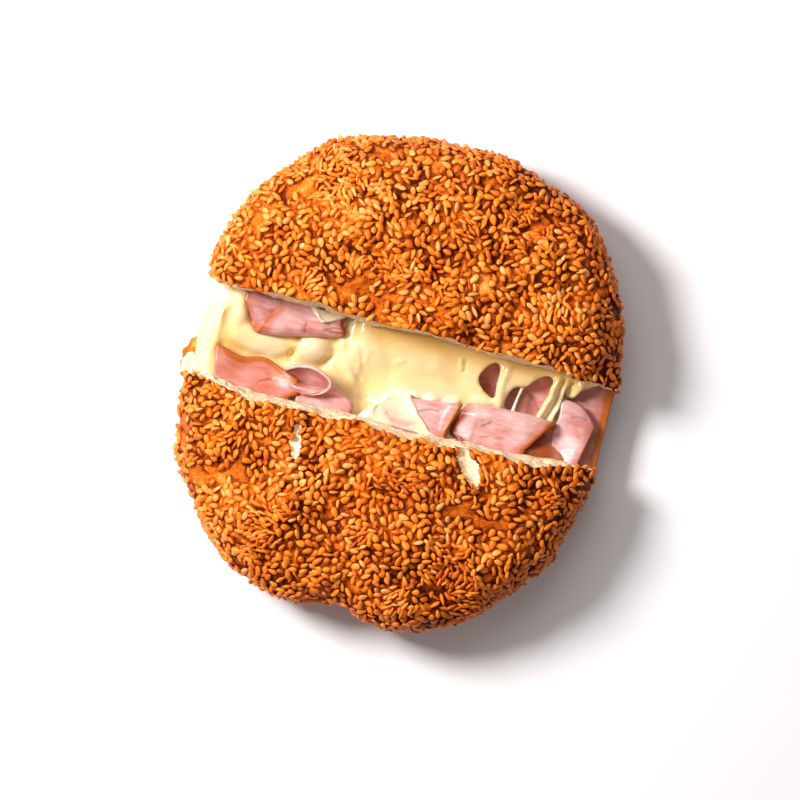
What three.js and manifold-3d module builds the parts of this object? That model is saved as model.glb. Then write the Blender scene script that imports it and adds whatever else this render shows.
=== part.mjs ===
// A round sesame bread, split level and filled with melted cheese and folded ham, toasted, then
// cut across the middle and pulled apart, so that the filling shows and spans the gap.
// Millimetres, +Z up. X runs along the cut and +Y points from the front half to the back half.
// The origin is the middle of the base.

import * as THREE from "three";
import { mergeVertices } from "three/addons/utils/BufferGeometryUtils.js";
import Module from "manifold-3d";

const wasm = await Module();
wasm.setup();

// ---------------------------------------------------------------- driving dimensions

const BREAD_RADIUS = 65.8; // of the round loaf, along the cut
const BREAD_HEIGHT = 40;
const GAP = 29; // between the two halves where the loaf was pulled apart
const HALF_TURN = 0.014; // radians that each half has swung, so that the gap narrows to the right

const EQUATOR = 14; // height at which the loaf is widest
const BASE_TOP = 12; // the base's level face, under the filling
const LID_UNDERSIDE = 19.5; // the lid's level face, over the filling
const LID_DROOP = 3.6; // how far the lid's rim comes down over the filling's edge
const LID_RINGS = 8; // of the lid's surface, from its middle to its brow
const DROOP_START = (LID_RINGS - 1) / LID_RINGS; // share of the outline where the droop begins
const SIDE_POWER = 2.7; // how square the loaf's side is in section
const CLEARANCE = 0.3; // between pieces that touch

const HAM_THICKNESS = 1.2;
const HAM_HIGH = LID_UNDERSIDE - CLEARANCE - HAM_THICKNESS / 2; // middle of the upper layer
const HAM_LOW = HAM_HIGH - CLEARANCE - HAM_THICKNESS; // middle of the layer under it
const HAM_DEEP = BASE_TOP + CLEARANCE + HAM_THICKNESS / 2; // middle of the layer under the cheese
const HAM_REACH = 0.86; // share of the loaf's outline that the upper slices reach in the bread
const DEEP_REACH = 0.96; // the same for the slices under the cheese
const LEAST_TUCK = 2; // how far every slice is tucked into the bread at least

const SEED_LENGTH = 3.3;
const SEED_WIDTH = 2;
const SEED_HEIGHT = 1.5;
const SEEDS_ON_LIDS = 160;
const SEEDS_ON_BASES = 40;

const FRONT = -1;
const BACK = 1;
const CUT = GAP / 2; // distance of each cut face from the middle of the gap
const MOUTH = CUT - 2.6; // where the filling is free of the bread and may rise or sag

// ---------------------------------------------------------------- helpers

const { lerp, clamp, smoothstep, degToRad, euclideanModulo } = THREE.MathUtils;
const GOLDEN_ANGLE = Math.PI * (3 - Math.sqrt(5));

/** A repeatable stream of numbers from 0 to 1. */
function seededRandom(seed) {
  let state = seed;
  return () => {
    state = (state * 1664525 + 1013904223) % 4294967296;
    return state / 4294967296;
  };
}

/** A closed geometry as a solid that can be joined and cut. */
function solidOf(geometry) {
  const bare = geometry.clone();
  bare.deleteAttribute("normal");
  bare.deleteAttribute("uv");
  const merged = mergeVertices(bare, 1e-4);
  const corners = [];
  const index = merged.index.array;
  for (let i = 0; i < index.length; i += 3) {
    const [a, b, c] = [index[i], index[i + 1], index[i + 2]];
    if (a !== b && b !== c && c !== a) corners.push(a, b, c);
  }
  return new wasm.Manifold(
    new wasm.Mesh({
      numProp: 3,
      vertProperties: merged.attributes.position.array,
      triVerts: new Uint32Array(corners),
    }),
  );
}

/** A solid as a named mesh. */
function meshOf(name, solid, material) {
  const data = solid.getMesh();
  const geometry = new THREE.BufferGeometry();
  geometry.setAttribute("position", new THREE.BufferAttribute(data.vertProperties, 3));
  geometry.setIndex(new THREE.BufferAttribute(data.triVerts, 1));
  geometry.computeVertexNormals();
  const mesh = new THREE.Mesh(geometry, material);
  mesh.name = name;
  return mesh;
}

/** The largest body of a solid, without the scraps that a cut leaves. */
function largestBody(solid) {
  const bodies = solid.decompose();
  return bodies.reduce((best, body) => (body.volume() > best.volume() ? body : best));
}

/** Moves each vertex of a geometry to where a function puts it. */
function reshape(geometry, place) {
  const position = geometry.getAttribute("position");
  const vertex = new THREE.Vector3();
  for (let i = 0; i < position.count; i += 1) {
    vertex.fromBufferAttribute(position, i);
    const moved = place(vertex);
    position.setXYZ(i, moved.x, moved.y, moved.z);
  }
  return geometry;
}

/** An ellipsoid with the given half-sizes, turned about Z and put at a place. */
function ellipsoid(halfSizes, turn, place, segments) {
  const geometry = new THREE.SphereGeometry(1, segments, Math.ceil(segments / 2));
  geometry.rotateX(Math.PI / 2);
  geometry.scale(...halfSizes);
  geometry.rotateZ(turn);
  geometry.translate(...place);
  return solidOf(geometry);
}

/** A bump of height 1 at 0 that fades out over about its spread. */
function bump(distance, spread) {
  return Math.exp(-((distance / spread) ** 2));
}

// ---------------------------------------------------------------- the loaf

// Where the loaf's outline falls inside its circle: bearing and spread in degrees, depth in mm.
const FLATS = [
  { bearing: 93, spread: 32, depth: 5.4 },
  { bearing: -93, spread: 16, depth: 6.8 },
  { bearing: -38, spread: 12, depth: 1.4 },
];

// Small swells of the outline: how many round the loaf, how high and where they start.
const SWELLS = [
  { count: 9, height: 0.45, start: 1 },
  { count: 14, height: 0.35, start: 2.3 },
];

/** Distance of the loaf's outline from its centre, at a bearing in radians. */
function outlineRadius(bearing) {
  let radius = BREAD_RADIUS;
  for (const flat of FLATS) {
    const turned = bearing - degToRad(flat.bearing);
    const away = euclideanModulo(turned + Math.PI, 2 * Math.PI) - Math.PI;
    radius -= flat.depth * bump(away, degToRad(flat.spread));
  }
  for (const swell of SWELLS) radius += swell.height * Math.sin(swell.count * bearing + swell.start);
  return radius;
}

/** A place's distance from the loaf's centre as a share of the outline's there. */
function shareOut(x, y) {
  return Math.hypot(x, y) / outlineRadius(Math.atan2(y, x));
}

/** How far a line of places, from the loaf's inside outwards, stays within a share of it. */
function extentWithin(reach, placeAt) {
  let inside = 0;
  let outside = 1.2 * BREAD_RADIUS;
  for (let i = 0; i < 24; i += 1) {
    const middle = (inside + outside) / 2;
    if (shareOut(...placeAt(middle)) < reach) inside = middle;
    else outside = middle;
  }
  return inside;
}

// The waves of the crust's lumps: each one shorter and lower than the one before.
const RELIEF = { waves: 6, longest: 38, shortening: 0.78, highest: 0.75, lowering: 0.85 };
const CUT_ROLL_OFF = { depth: 3.2, spread: 7 }; // where the knife pressed the crust down

/** Height of the crust's lumps over the even dome. */
function crustRelief(x, y) {
  let height = 0;
  for (let i = 0; i < RELIEF.waves; i += 1) {
    const heading = i * GOLDEN_ANGLE;
    const rate = (2 * Math.PI) / (RELIEF.longest * RELIEF.shortening ** i);
    const along = x * Math.cos(heading) + y * Math.sin(heading);
    height += RELIEF.highest * RELIEF.lowering ** i * Math.sin(rate * along + 1.7 * i);
  }
  return height - CUT_ROLL_OFF.depth * bump(y, CUT_ROLL_OFF.spread);
}

/** The height of the crust over a place where the even loaf would have the height z. */
function crustHeight(x, y, z) {
  return z + smoothstep(z, LID_UNDERSIDE, BREAD_HEIGHT - 6) * crustRelief(x, y);
}

/** Takes a point of the even round loaf to the uneven one. */
function unevenLoaf(point) {
  const stretch = outlineRadius(Math.atan2(point.y, point.x)) / BREAD_RADIUS;
  const x = point.x * stretch;
  const y = point.y * stretch;
  return new THREE.Vector3(x, y, crustHeight(x, y, point.z));
}

/** How far the even loaf reaches up, or down, from its equator. */
function loafReach(isAbove) {
  return isAbove ? BREAD_HEIGHT - EQUATOR : 1.35 * EQUATOR; // the base is cut off flat by the floor
}

/** The even loaf's section: radius and height at an angle above or below its equator. */
function loafSection(angle) {
  const radius = BREAD_RADIUS * Math.max(0, Math.cos(angle)) ** (2 / SIDE_POWER);
  const climb = loafReach(angle > 0) * Math.sin(Math.abs(angle)) ** (2 / SIDE_POWER);
  return new THREE.Vector2(radius, EQUATOR + Math.sign(angle) * climb);
}

/** The angle at which the even loaf's section has a height. */
function sectionAngle(height) {
  const climb = Math.abs(height - EQUATOR) / loafReach(height > EQUATOR);
  return Math.sign(height - EQUATOR) * Math.asin(climb ** (SIDE_POWER / 2));
}

const LID_RIM = sectionAngle(LID_UNDERSIDE - LID_DROOP);
const LID_BROW = Math.PI / 6; // where the lid's top turns into its wall
const BASE_RIM = sectionAngle(BASE_TOP);
const BASE_FOOT = sectionAngle(0);
const BASE_SIDES = 40;
const RING_POWER = 1.35; // spaces the rings of the lid's top evenly

/** Points of the section from one angle to another. */
function sectionPoints(from, to, steps) {
  return Array.from({ length: steps + 1 }, (_, i) => loafSection(lerp(from, to, i / steps)));
}

/** Takes a place in a square from -1 to 1 to the ring, from 0 to 1, and bearing of a disc. */
function squareToDisc(a, b) {
  const ring = Math.max(Math.abs(a), Math.abs(b));
  if (ring === 0) return { ring, bearing: 0 };
  const isBesideX = Math.abs(a) >= Math.abs(b);
  const bearing = isBesideX ? (Math.PI / 4) * (b / a) : Math.PI / 2 - (Math.PI / 4) * (a / b);
  return { ring, bearing: (isBesideX ? a : b) < 0 ? bearing + Math.PI : bearing };
}

/** The upper bread of the whole loaf: a domed top, a wall and a level underside that droops. */
function wholeLid() {
  const rim = loafSection(LID_RIM);
  const geometry = new THREE.BoxGeometry(2, 2, 2, 2 * LID_RINGS, 2 * LID_RINGS, 3);
  reshape(geometry, ({ x: a, y: b, z: c }) => {
    const { ring, bearing } = squareToDisc(a, b);
    const drooped = clamp((ring - DROOP_START) / (1 - DROOP_START), 0, 1);
    let section = new THREE.Vector2(ring * rim.x, LID_UNDERSIDE - LID_DROOP * drooped);
    if (c > -1) section = loafSection(lerp(LID_RIM, LID_BROW, (c + 1) / 2));
    if (c === 1) section = loafSection(lerp(Math.PI / 2, LID_BROW, ring ** RING_POWER));
    const [x, y] = [section.x * Math.cos(bearing), section.x * Math.sin(bearing)];
    return unevenLoaf(new THREE.Vector3(x, y, section.y));
  });
  return solidOf(geometry);
}

/** The lower bread of the whole loaf: level above and below, with a rounded wall. */
function wholeBase() {
  const wall = sectionPoints(BASE_FOOT, BASE_RIM, 4);
  const profile = [new THREE.Vector2(0, 0), ...wall, new THREE.Vector2(0, BASE_TOP)];
  const geometry = new THREE.LatheGeometry(profile, BASE_SIDES);
  geometry.rotateX(Math.PI / 2);
  return solidOf(reshape(geometry, unevenLoaf));
}

/** The height of the lid's underside over a place. */
function lidUnderside(x, y) {
  const drooped = clamp((shareOut(x, y) - DROOP_START) / (1 - DROOP_START), 0, 1);
  return LID_UNDERSIDE - LID_DROOP * drooped;
}

/** The height of the lid's crust over a place. */
function lidHeight(x, y) {
  const share = Math.min(1, shareOut(x, y));
  const even = EQUATOR + loafReach(true) * (1 - share ** SIDE_POWER) ** (1 / SIDE_POWER);
  return crustHeight(x, y, even);
}

// ---------------------------------------------------------------- the cut

const CUT_LEAN = { [BACK]: 0.06, [FRONT]: 0.14 }; // how far a cut face leans back for each mm up
const CUT_WAVES = [
  { length: 38, height: 0.35 },
  { length: 82, height: 0.35 },
];
const BASE_SETBACK = 1; // the bases' cut faces stand this far behind the lids'

/** Where a cut face stands, measured from the loaf's middle into the half. */
function cutFace(x, z, side) {
  let depth = CUT_LEAN[side] * (z - LID_UNDERSIDE);
  for (const wave of CUT_WAVES) {
    depth += wave.height * Math.sin((2 * Math.PI * x) / wave.length + wave.length);
  }
  return depth;
}

/** The part of the loaf on one side of the cut. */
function halfOf(loaf, side, setback) {
  const reach = 2 * BREAD_RADIUS;
  const knife = new THREE.BoxGeometry(1.2 * reach, reach, 2 * BREAD_HEIGHT, 30, 1, 1);
  reshape(knife, (corner) => {
    const isFace = corner.y * side > 0;
    const depth = isFace ? setback + cutFace(corner.x, corner.z, side) : -reach;
    return new THREE.Vector3(corner.x, side * depth, corner.z);
  });
  return largestBody(loaf.subtract(solidOf(knife)));
}

// ---------------------------------------------------------------- the seeds

/** One sesame seed with its middle at the origin, pointed at one end. */
function seedGeometry() {
  const geometry = new THREE.SphereGeometry(1, 5, 3);
  geometry.rotateZ(Math.PI / 2);
  return reshape(geometry, (vertex) => {
    const taper = 1 - 0.3 * vertex.x;
    return new THREE.Vector3(
      (vertex.x * SEED_LENGTH) / 2,
      (vertex.y * taper * SEED_WIDTH) / 2,
      (vertex.z * taper * SEED_HEIGHT) / 2,
    );
  });
}

/** The section angles that part the loaf's skin between two angles into equal areas. */
function anglesOfEqualArea(from, to, count) {
  const steps = 200;
  const points = sectionPoints(from, to, steps);
  const areas = [0];
  for (let i = 1; i <= steps; i += 1) {
    const ring = (points[i].x + points[i - 1].x) * points[i].distanceTo(points[i - 1]);
    areas.push(areas[i - 1] + ring);
  }
  return Array.from({ length: count }, (_, i) => {
    const wanted = (areas[steps] * (i + 0.5)) / count;
    return lerp(from, to, areas.findIndex((area) => area >= wanted) / steps);
  });
}

/** Whether a seed at a place on one half would hang over the cut or a tear. */
function isOverEdge(place, side) {
  const room = SEED_LENGTH * 0.75;
  const behindCut = place.y * side - Math.max(0, cutFace(place.x, place.z, side));
  if (behindCut < room) return true;
  if (side === BACK) return false;
  return TEARS.some(({ x, y, halfSizes }) => Math.hypot(place.x - x, place.y - y) < halfSizes[1] + room);
}

/** Fuses seeds to a half of the loaf, spread evenly over its skin between two angles. */
function withSeeds(half, side, count, from, to, random) {
  const seeds = [];
  anglesOfEqualArea(from, to, count).forEach((angle, i) => {
    const onSkin = (climb, turn) => {
      const section = loafSection(angle + climb);
      const heading = i * GOLDEN_ANGLE + turn;
      const point = new THREE.Vector3(
        section.x * Math.cos(heading),
        section.x * Math.sin(heading),
        section.y,
      );
      return unevenLoaf(point);
    };
    const spin = random() * Math.PI * 2;
    const centre = onSkin(0, 0);
    if (isOverEdge(centre, side)) return;
    const step = 0.01;
    const round = onSkin(0, step).sub(centre);
    const up = onSkin(-step, 0).sub(centre).negate();
    const normal = round.cross(up).normalize();
    const along = new THREE.Vector3(Math.cos(spin), Math.sin(spin), 0.4).cross(normal).normalize();
    const frame = new THREE.Matrix4().makeBasis(along, normal.clone().cross(along), normal);
    frame.setPosition(centre);
    seeds.push(solidOf(seedGeometry().applyMatrix4(frame)));
  });
  return largestBody(wasm.Manifold.union([half, ...seeds]));
}

// ---------------------------------------------------------------- the lids and bases

// Where the front lid's crust has burst and shows the crumb: places from the loaf's centre.
const TEARS = [
  { x: 27.4, y: -7.4, halfSizes: [2.6, 7.4, 2.4], turn: 0.62 },
  { x: -26.6, y: -13.4, halfSizes: [1.9, 4.8, 1.5], turn: 0.12 },
];

function makeLid(side, random) {
  let lid = halfOf(wholeLid(), side, 0);
  if (side === FRONT) {
    for (const { x, y, halfSizes, turn } of TEARS) {
      lid = lid.subtract(ellipsoid(halfSizes, turn, [x, y, lidHeight(x, y)], 10));
    }
  }
  return withSeeds(largestBody(lid), side, SEEDS_ON_LIDS, LID_RIM + 0.14, Math.PI / 2, random);
}

// Torn ends of crust that stay on the front base and stick out into the gap.
const TORN_ENDS = [
  { halfSizes: [6.6, 8.4, 4.6], turn: 0.12, place: [-62, 4.8, 5.4] },
  { halfSizes: [4.2, 4.6, 3.4], turn: -0.4, place: [57.4, 1.2, 6.2] },
];

function makeBase(side, random) {
  let base = halfOf(wholeBase(), side, BASE_SETBACK);
  if (side === FRONT) {
    for (const { halfSizes, turn, place } of TORN_ENDS) {
      base = base.add(ellipsoid(halfSizes, turn, place, 8));
    }
  }
  return withSeeds(base, side, SEEDS_ON_BASES, BASE_FOOT + 0.35, BASE_RIM - 0.05, random);
}

// ---------------------------------------------------------------- the ham

/**
 * A slice of ham as a bent sheet. point(u, row) is on its middle face: u runs from 0 to 1 along
 * the cut, and row counts the rows, of which the first starts deep inside the bread.
 */
function sliceSolid({ point, columns, rows }, margin) {
  const step = 1e-3;
  const sideMargin = margin / 12; // as a share of the width
  const endMargin = margin / 2; // in rows
  const beyond = (at, extra) => (Math.abs(at) > 0.499 ? Math.sign(at) * extra : 0); // at an edge
  const sheet = new THREE.BoxGeometry(1, 1, 1, columns, rows, 1);
  reshape(sheet, (vertex) => {
    const u = vertex.x + 0.5 + beyond(vertex.x, sideMargin);
    const row = (vertex.y + 0.5) * rows + beyond(vertex.y, endMargin);
    const alongCut = point(u + step, row).sub(point(u - step, row));
    const alongRows = point(u, row + step).sub(point(u, row - step));
    const normal = alongCut.cross(alongRows).normalize();
    return point(u, row).addScaledVector(normal, vertex.z * (HAM_THICKNESS + 2 * margin));
  });
  return solidOf(sheet);
}

/** Where a slice that lies in a half at x ends inside the bread, along Y. */
function tuckedEnd(x, side, reach) {
  return side * (CUT + Math.max(LEAST_TUCK, extentWithin(reach, (depth) => [x, side * depth])));
}

/** A slice that leaves the front half over the cheese and ends free in the gap. */
function flap({ name, columns, rows, rootX, freeX, freeY, level, freeLevel, rise }) {
  const point = (u, row) => {
    const root = lerp(...rootX, u);
    const mouth = FRONT * MOUTH;
    if (row < 1) return new THREE.Vector3(root, lerp(tuckedEnd(root, FRONT, HAM_REACH), mouth, row), level);
    const out = (row - 1) / (rows - 1);
    const z = lerp(level, freeLevel, out * out) + rise * Math.sin(Math.PI * out) * Math.cos(5 * u);
    return new THREE.Vector3(lerp(root, lerp(...freeX, u), out), lerp(mouth, freeY(u), out), z);
  };
  return { name, columns, rows, point };
}

/**
 * A slice that leaves one half low, folds back over itself in the gap and goes in again above.
 * foldY gives where the fold lies at its left end, middle and right end.
 */
function fold({ name, columns, rows, side, lowX, foldX, highX, foldY, foldLevel, puff }) {
  const point = (u, row) => {
    const lowRoot = lerp(...lowX, u);
    const highRoot = lerp(...highX, u);
    const mouth = side * MOUTH;
    if (row < 1) {
      return new THREE.Vector3(lowRoot, lerp(tuckedEnd(lowRoot, side, HAM_REACH), mouth, row), HAM_LOW);
    }
    if (row > rows - 1) {
      const back = row - (rows - 1);
      return new THREE.Vector3(highRoot, lerp(mouth, tuckedEnd(highRoot, side, HAM_REACH), back), HAM_HIGH);
    }
    const [left, middle, right] = foldY;
    const tip = left * (1 - u) * (1 - 2 * u) + 4 * middle * u * (1 - u) + right * u * (2 * u - 1);
    const belly = Math.min(puff, 0.45 * Math.abs(mouth - tip));
    const shoulder = tip + side * belly;
    const section = new THREE.SplineCurve([
      new THREE.Vector2(mouth, HAM_LOW),
      new THREE.Vector2((mouth + shoulder) / 2, lerp(HAM_LOW, foldLevel - belly, 0.8)),
      new THREE.Vector2(shoulder, foldLevel - belly),
      new THREE.Vector2(tip, foldLevel),
      new THREE.Vector2(shoulder, foldLevel + belly),
      new THREE.Vector2((mouth + shoulder) / 2, lerp(HAM_HIGH, foldLevel + belly, 0.8)),
      new THREE.Vector2(mouth, HAM_HIGH),
    ]);
    const out = (row - 1) / (rows - 2);
    const at = section.getPoint(out);
    const foldAt = lerp(...foldX, u);
    const x = out < 0.5 ? lerp(lowRoot, foldAt, 2 * out) : lerp(foldAt, highRoot, 2 * out - 1);
    return new THREE.Vector3(x, at.x, at.y);
  };
  return { name, columns, rows, point };
}

/** A slice under the cheese that spans the gap from the front half to the back half. */
function bridge({ name, columns, rows, leftX, rightX, sag, ripple }) {
  const point = (u, row) => {
    const x = lerp(leftX, rightX, u);
    if (row < 1) return new THREE.Vector3(x, lerp(tuckedEnd(x, FRONT, DEEP_REACH), -MOUTH, row), HAM_DEEP);
    if (row > rows - 1) {
      const back = row - (rows - 1);
      return new THREE.Vector3(x, lerp(MOUTH, tuckedEnd(x, BACK, DEEP_REACH), back), HAM_DEEP);
    }
    const out = (row - 1) / (rows - 2);
    const arch = Math.sin(Math.PI * out) ** 2;
    const z = HAM_DEEP - sag * arch + ripple * arch * Math.sin(5 * u + 4 * out);
    return new THREE.Vector3(x, lerp(-MOUTH, MOUTH, out), z);
  };
  return { name, columns, rows, point };
}

/**
 * A slice that lies doubled in the bread, creased on its right, and in the gap bends up and
 * opens into a roll. Its left side stays open.
 */
function curl({ name, columns, rows, axisX, openX, openY, lift, rootWide, openWide, openHigh }) {
  const level = (HAM_LOW + HAM_HIGH) / 2;
  const flatHigh = (HAM_HIGH - HAM_LOW) / 2;
  const crease = 0.1; // share of the slice's half width that the crease takes
  const axis = new THREE.CatmullRomCurve3([
    new THREE.Vector3(axisX, FRONT * MOUTH, level),
    new THREE.Vector3(lerp(axisX, openX, 0.4), lerp(FRONT * MOUTH, openY, 0.5), level),
    new THREE.Vector3(lerp(axisX, openX, 0.9), lerp(FRONT * MOUTH, openY, 0.9), level + lift / 2),
    new THREE.Vector3(openX, openY, level + lift),
  ]);
  const point = (u, row) => {
    const out = clamp((row - 1) / (rows - 1), 0, 1);
    const centre = axis.getPoint(out);
    const end = tuckedEnd(axisX, FRONT, HAM_REACH * 0.96);
    if (row < 1) centre.y = lerp(end, FRONT * MOUTH, row);
    const opened = smoothstep(out, 0.2, 1);
    const fromCrease = 2 * u - 1; // -1 at the lower layer's free edge, 1 at the upper layer's
    const layer = Math.max(0, Math.abs(fromCrease) - crease) / (1 - crease);
    const flatX = rootWide * (1 - 2 * layer);
    const flatZ = flatHigh * clamp(fromCrease / crease, -1, 1);
    const turn = degToRad(lerp(-188, 98, u));
    const tilt = (opened * Math.PI) / 2;
    const high = lerp(flatZ, openHigh * Math.sin(turn), opened);
    centre.x += lerp(flatX, openWide * Math.cos(turn), opened);
    centre.y -= high * Math.sin(tilt);
    centre.z += high * Math.cos(tilt);
    return centre;
  };
  return { name, columns, rows, point };
}

const HAM_SLICES = [
  fold({
    name: "ham_fold_back",
    columns: 5,
    rows: 9,
    side: BACK,
    lowX: [-53.3, -20.5],
    foldX: [-47.6, -20],
    highX: [-42.8, -22],
    foldY: [3.2, 5.6, 8.6],
    foldLevel: 17.2,
    puff: 2.2,
  }),
  flap({
    name: "ham_flap_left",
    columns: 8,
    rows: 5,
    rootX: [-57, -32.4],
    freeX: [-58.4, -33.6],
    freeY: (u) => -4.2 + 0.9 * Math.cos(9.5 * u) - 3.2 * u ** 4,
    level: HAM_HIGH,
    freeLevel: 16.2,
    rise: 0.7,
  }),
  curl({
    name: "ham_curl_left",
    columns: 10,
    rows: 5,
    axisX: -21.4,
    openX: -26.6,
    openY: -7.4,
    lift: 3.2,
    rootWide: 8.8,
    openWide: 5.9,
    openHigh: 3.8,
  }),
  flap({
    name: "ham_flap_middle",
    columns: 5,
    rows: 4,
    rootX: [-9.6, 10.6],
    freeX: [-3.6, 3.2],
    freeY: () => -6.4,
    level: HAM_HIGH,
    freeLevel: 15.8,
    rise: 0.4,
  }),
  flap({
    name: "ham_flap_centre",
    columns: 5,
    rows: 4,
    rootX: [12.2, 20],
    freeX: [4.8, 20.9],
    freeY: (u) => lerp(-5.2, -3, u),
    level: HAM_HIGH,
    freeLevel: 16.6,
    rise: 0.4,
  }),
  fold({
    name: "ham_fold_right",
    columns: 5,
    rows: 9,
    side: FRONT,
    lowX: [22.4, 52.2],
    foldX: [22, 50.9],
    highX: [22.6, 43.4],
    foldY: [-2.6, -1.6, -1.8],
    foldLevel: 17.6,
    puff: 2.7,
  }),
  flap({
    name: "ham_slice_right",
    columns: 4,
    rows: 5,
    rootX: [54.2, 60.6],
    freeX: [52.6, 62.4],
    freeY: (u) => 6.4 - 7.5 * u ** 3,
    level: HAM_LOW,
    freeLevel: 15.2,
    rise: 0.2,
  }),
  bridge({
    name: "ham_slice_edge",
    columns: 3,
    rows: 7,
    leftX: 49.6,
    rightX: 65,
    sag: 1.2,
    ripple: 0.3,
  }),
  bridge({
    name: "ham_slice_under",
    columns: 5,
    rows: 7,
    leftX: 19,
    rightX: 48.8,
    sag: 2.4,
    ripple: 0.7,
  }),
];

// ---------------------------------------------------------------- the cheese

const CHEESE_REACH = 0.965; // share of the loaf's outline that the cheese reaches in the bread
const CHEESE_LEFT = -65; // how far the cheese bulges out of the gap on the left
const CHEESE_RIGHT = 53; // where it ends in the gap on the right
const UNDER_HAM = HAM_LOW - HAM_THICKNESS / 2 - CLEARANCE; // its top where ham lies over it
const UNDER_LID = LID_UNDERSIDE - CLEARANCE; // its top where the lid lies on it
const ON_BASE = BASE_TOP + CLEARANCE; // its underside where it lies on the base
const ON_HAM = HAM_DEEP + HAM_THICKNESS / 2 + CLEARANCE; // its underside over the deep slices

const VALLEY_DEPTH = 3; // how far its top falls towards the front half
const NOTCH = { x: -10, spread: 5, depth: 2.5 }; // a deeper fold beside the ham's curl
const LOBE = { x: -57, y: 1, spread: 7, rise: 3, sag: 1.6 }; // the thick bulge at its left end
const RIPPLE = { height: 0.7, alongCut: 0.18, acrossCut: 0.6 };
const STRETCHED_RISE = 1.4; // how much higher its right part is held by the pull
const FREE_SAG = 8.4; // how far its underside hangs down in the gap
const SAG_OVER_HAM = 0.9; // the same where the deep slices carry it
const LEAST_CHEESE = 1.6; // its least thickness

// Holes that the pulled cheese has opened up: place, half-sizes and turn.
const CHEESE_HOLES = [
  { x: 27.6, y: 6.6, halfSizes: [2.9, 6, 20], turn: -0.12 },
  { x: 37.6, y: 2.6, halfSizes: [4.4, 4.6, 20], turn: 0.1 },
  { x: 42.6, y: 5.4, halfSizes: [3.7, 7, 20], turn: -0.18 },
];

/** The X of the cheese's left and right ends at a place across the gap or in the bread. */
function cheeseEnds(y) {
  if (Math.abs(y) > CUT) {
    const depth = y - Math.sign(y) * CUT;
    return [-1, 1].map((way) => way * extentWithin(CHEESE_REACH, (width) => [way * width, depth]));
  }
  const neck = bump(y - 12, 3); // pulled in near the back half
  const tuck = 1 - smoothstep(y, -CUT, -CUT + 5); // drawn in under the front lid
  const spread = smoothstep(y, 4, CUT) ** 2 + tuck;
  return [CHEESE_LEFT + 7 * neck + 2.6 * tuck, CHEESE_RIGHT + 9 * spread];
}

/** The height of the cheese's upper face. */
function cheeseTop(x, y) {
  const hamAbove = smoothstep(x, -60, -56) * (1 - smoothstep(x, -18, -15)); // over the back fold
  const underLid = lidUnderside(x, Math.max(0, y - CUT)) - 2 * CLEARANCE;
  const backTop = Math.min(lerp(UNDER_LID, UNDER_HAM, hamAbove), underLid);
  if (y > CUT) return backTop;
  if (y < -CUT) return UNDER_HAM;
  const out = (CUT - y) / GAP; // 0 at the back half, 1 at the front half
  const arch = Math.sin(Math.PI * out);
  const notch = NOTCH.depth * bump(x - NOTCH.x, NOTCH.spread) * smoothstep(out, 0.4, 0.8);
  const slope = lerp(backTop, UNDER_HAM - VALLEY_DEPTH - notch, smoothstep(out, 0, 0.72));
  const level = lerp(slope, UNDER_HAM, smoothstep(out, 0.8, 1));
  const lobe = LOBE.rise * bump(x - LOBE.x, LOBE.spread) * bump(y - LOBE.y, LOBE.spread);
  const ripples = RIPPLE.height * arch * Math.sin(RIPPLE.alongCut * x + RIPPLE.acrossCut * y);
  const stretched = STRETCHED_RISE * arch * smoothstep(x, 16, 26);
  return level + lobe + ripples + stretched;
}

/** The height of the cheese's lower face. */
function cheeseBottom(x, y) {
  const overHam = smoothstep(x, 14, 18.4);
  const level = lerp(ON_BASE, ON_HAM, overHam);
  const arch = Math.max(0, 1 - (y / MOUTH) ** 2);
  const sag = lerp(FREE_SAG, SAG_OVER_HAM, overHam) + LOBE.sag * bump(x - LOBE.x, LOBE.spread);
  return level - arch * sag;
}

/** The cheese before the holes are made and the ham is let in. */
function cheeseSlab() {
  const columns = 19;
  const rowsInBread = 3;
  const rowsInGap = 10;
  const rows = 2 * rowsInBread + rowsInGap;
  const acrossAt = (row) => {
    const past = Math.max(rowsInBread - row, row - (rows - rowsInBread), 0) / rowsInBread;
    if (past === 0) return lerp(-CUT, CUT, (row - rowsInBread) / rowsInGap);
    const side = row < rowsInBread ? FRONT : BACK;
    const deepest = extentWithin(CHEESE_REACH, (depth) => [0, side * depth]);
    return side * (CUT + deepest * Math.sin((past * Math.PI) / 2));
  };
  const slab = new THREE.BoxGeometry(1, 1, 1, columns, rows, 1);
  reshape(slab, (vertex) => {
    const y = acrossAt(Math.round((vertex.y + 0.5) * rows));
    const [left, right] = cheeseEnds(y);
    const x = lerp(left, right, vertex.x + 0.5);
    const bottom = cheeseBottom(x, y);
    const top = Math.max(cheeseTop(x, y), bottom + LEAST_CHEESE);
    const fromEnd = Math.min(x - left, right - x);
    const inGap = Math.abs(y) < CUT ? 1 : 0;
    const roundOff = 0.36 * inGap * (top - bottom) * bump(fromEnd, 3.2);
    return new THREE.Vector3(x, y, vertex.z > 0 ? top - roundOff : bottom + roundOff);
  });
  return solidOf(slab);
}

/** The thin thread of cheese that hangs across the largest hole. */
function cheeseThread() {
  const path = new THREE.LineCurve3(
    new THREE.Vector3(38, 9.5, 16.2),
    new THREE.Vector3(36.6, -3.5, 15.4),
  );
  const section = new THREE.Shape().absarc(0, 0, 0.5, 0, 2 * Math.PI);
  return solidOf(new THREE.ExtrudeGeometry(section, { steps: 1, curveSegments: 3, extrudePath: path }));
}

const CUTTING_MARGIN = CLEARANCE - 0.05; // a little less than the gap, so level faces never meet

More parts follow.
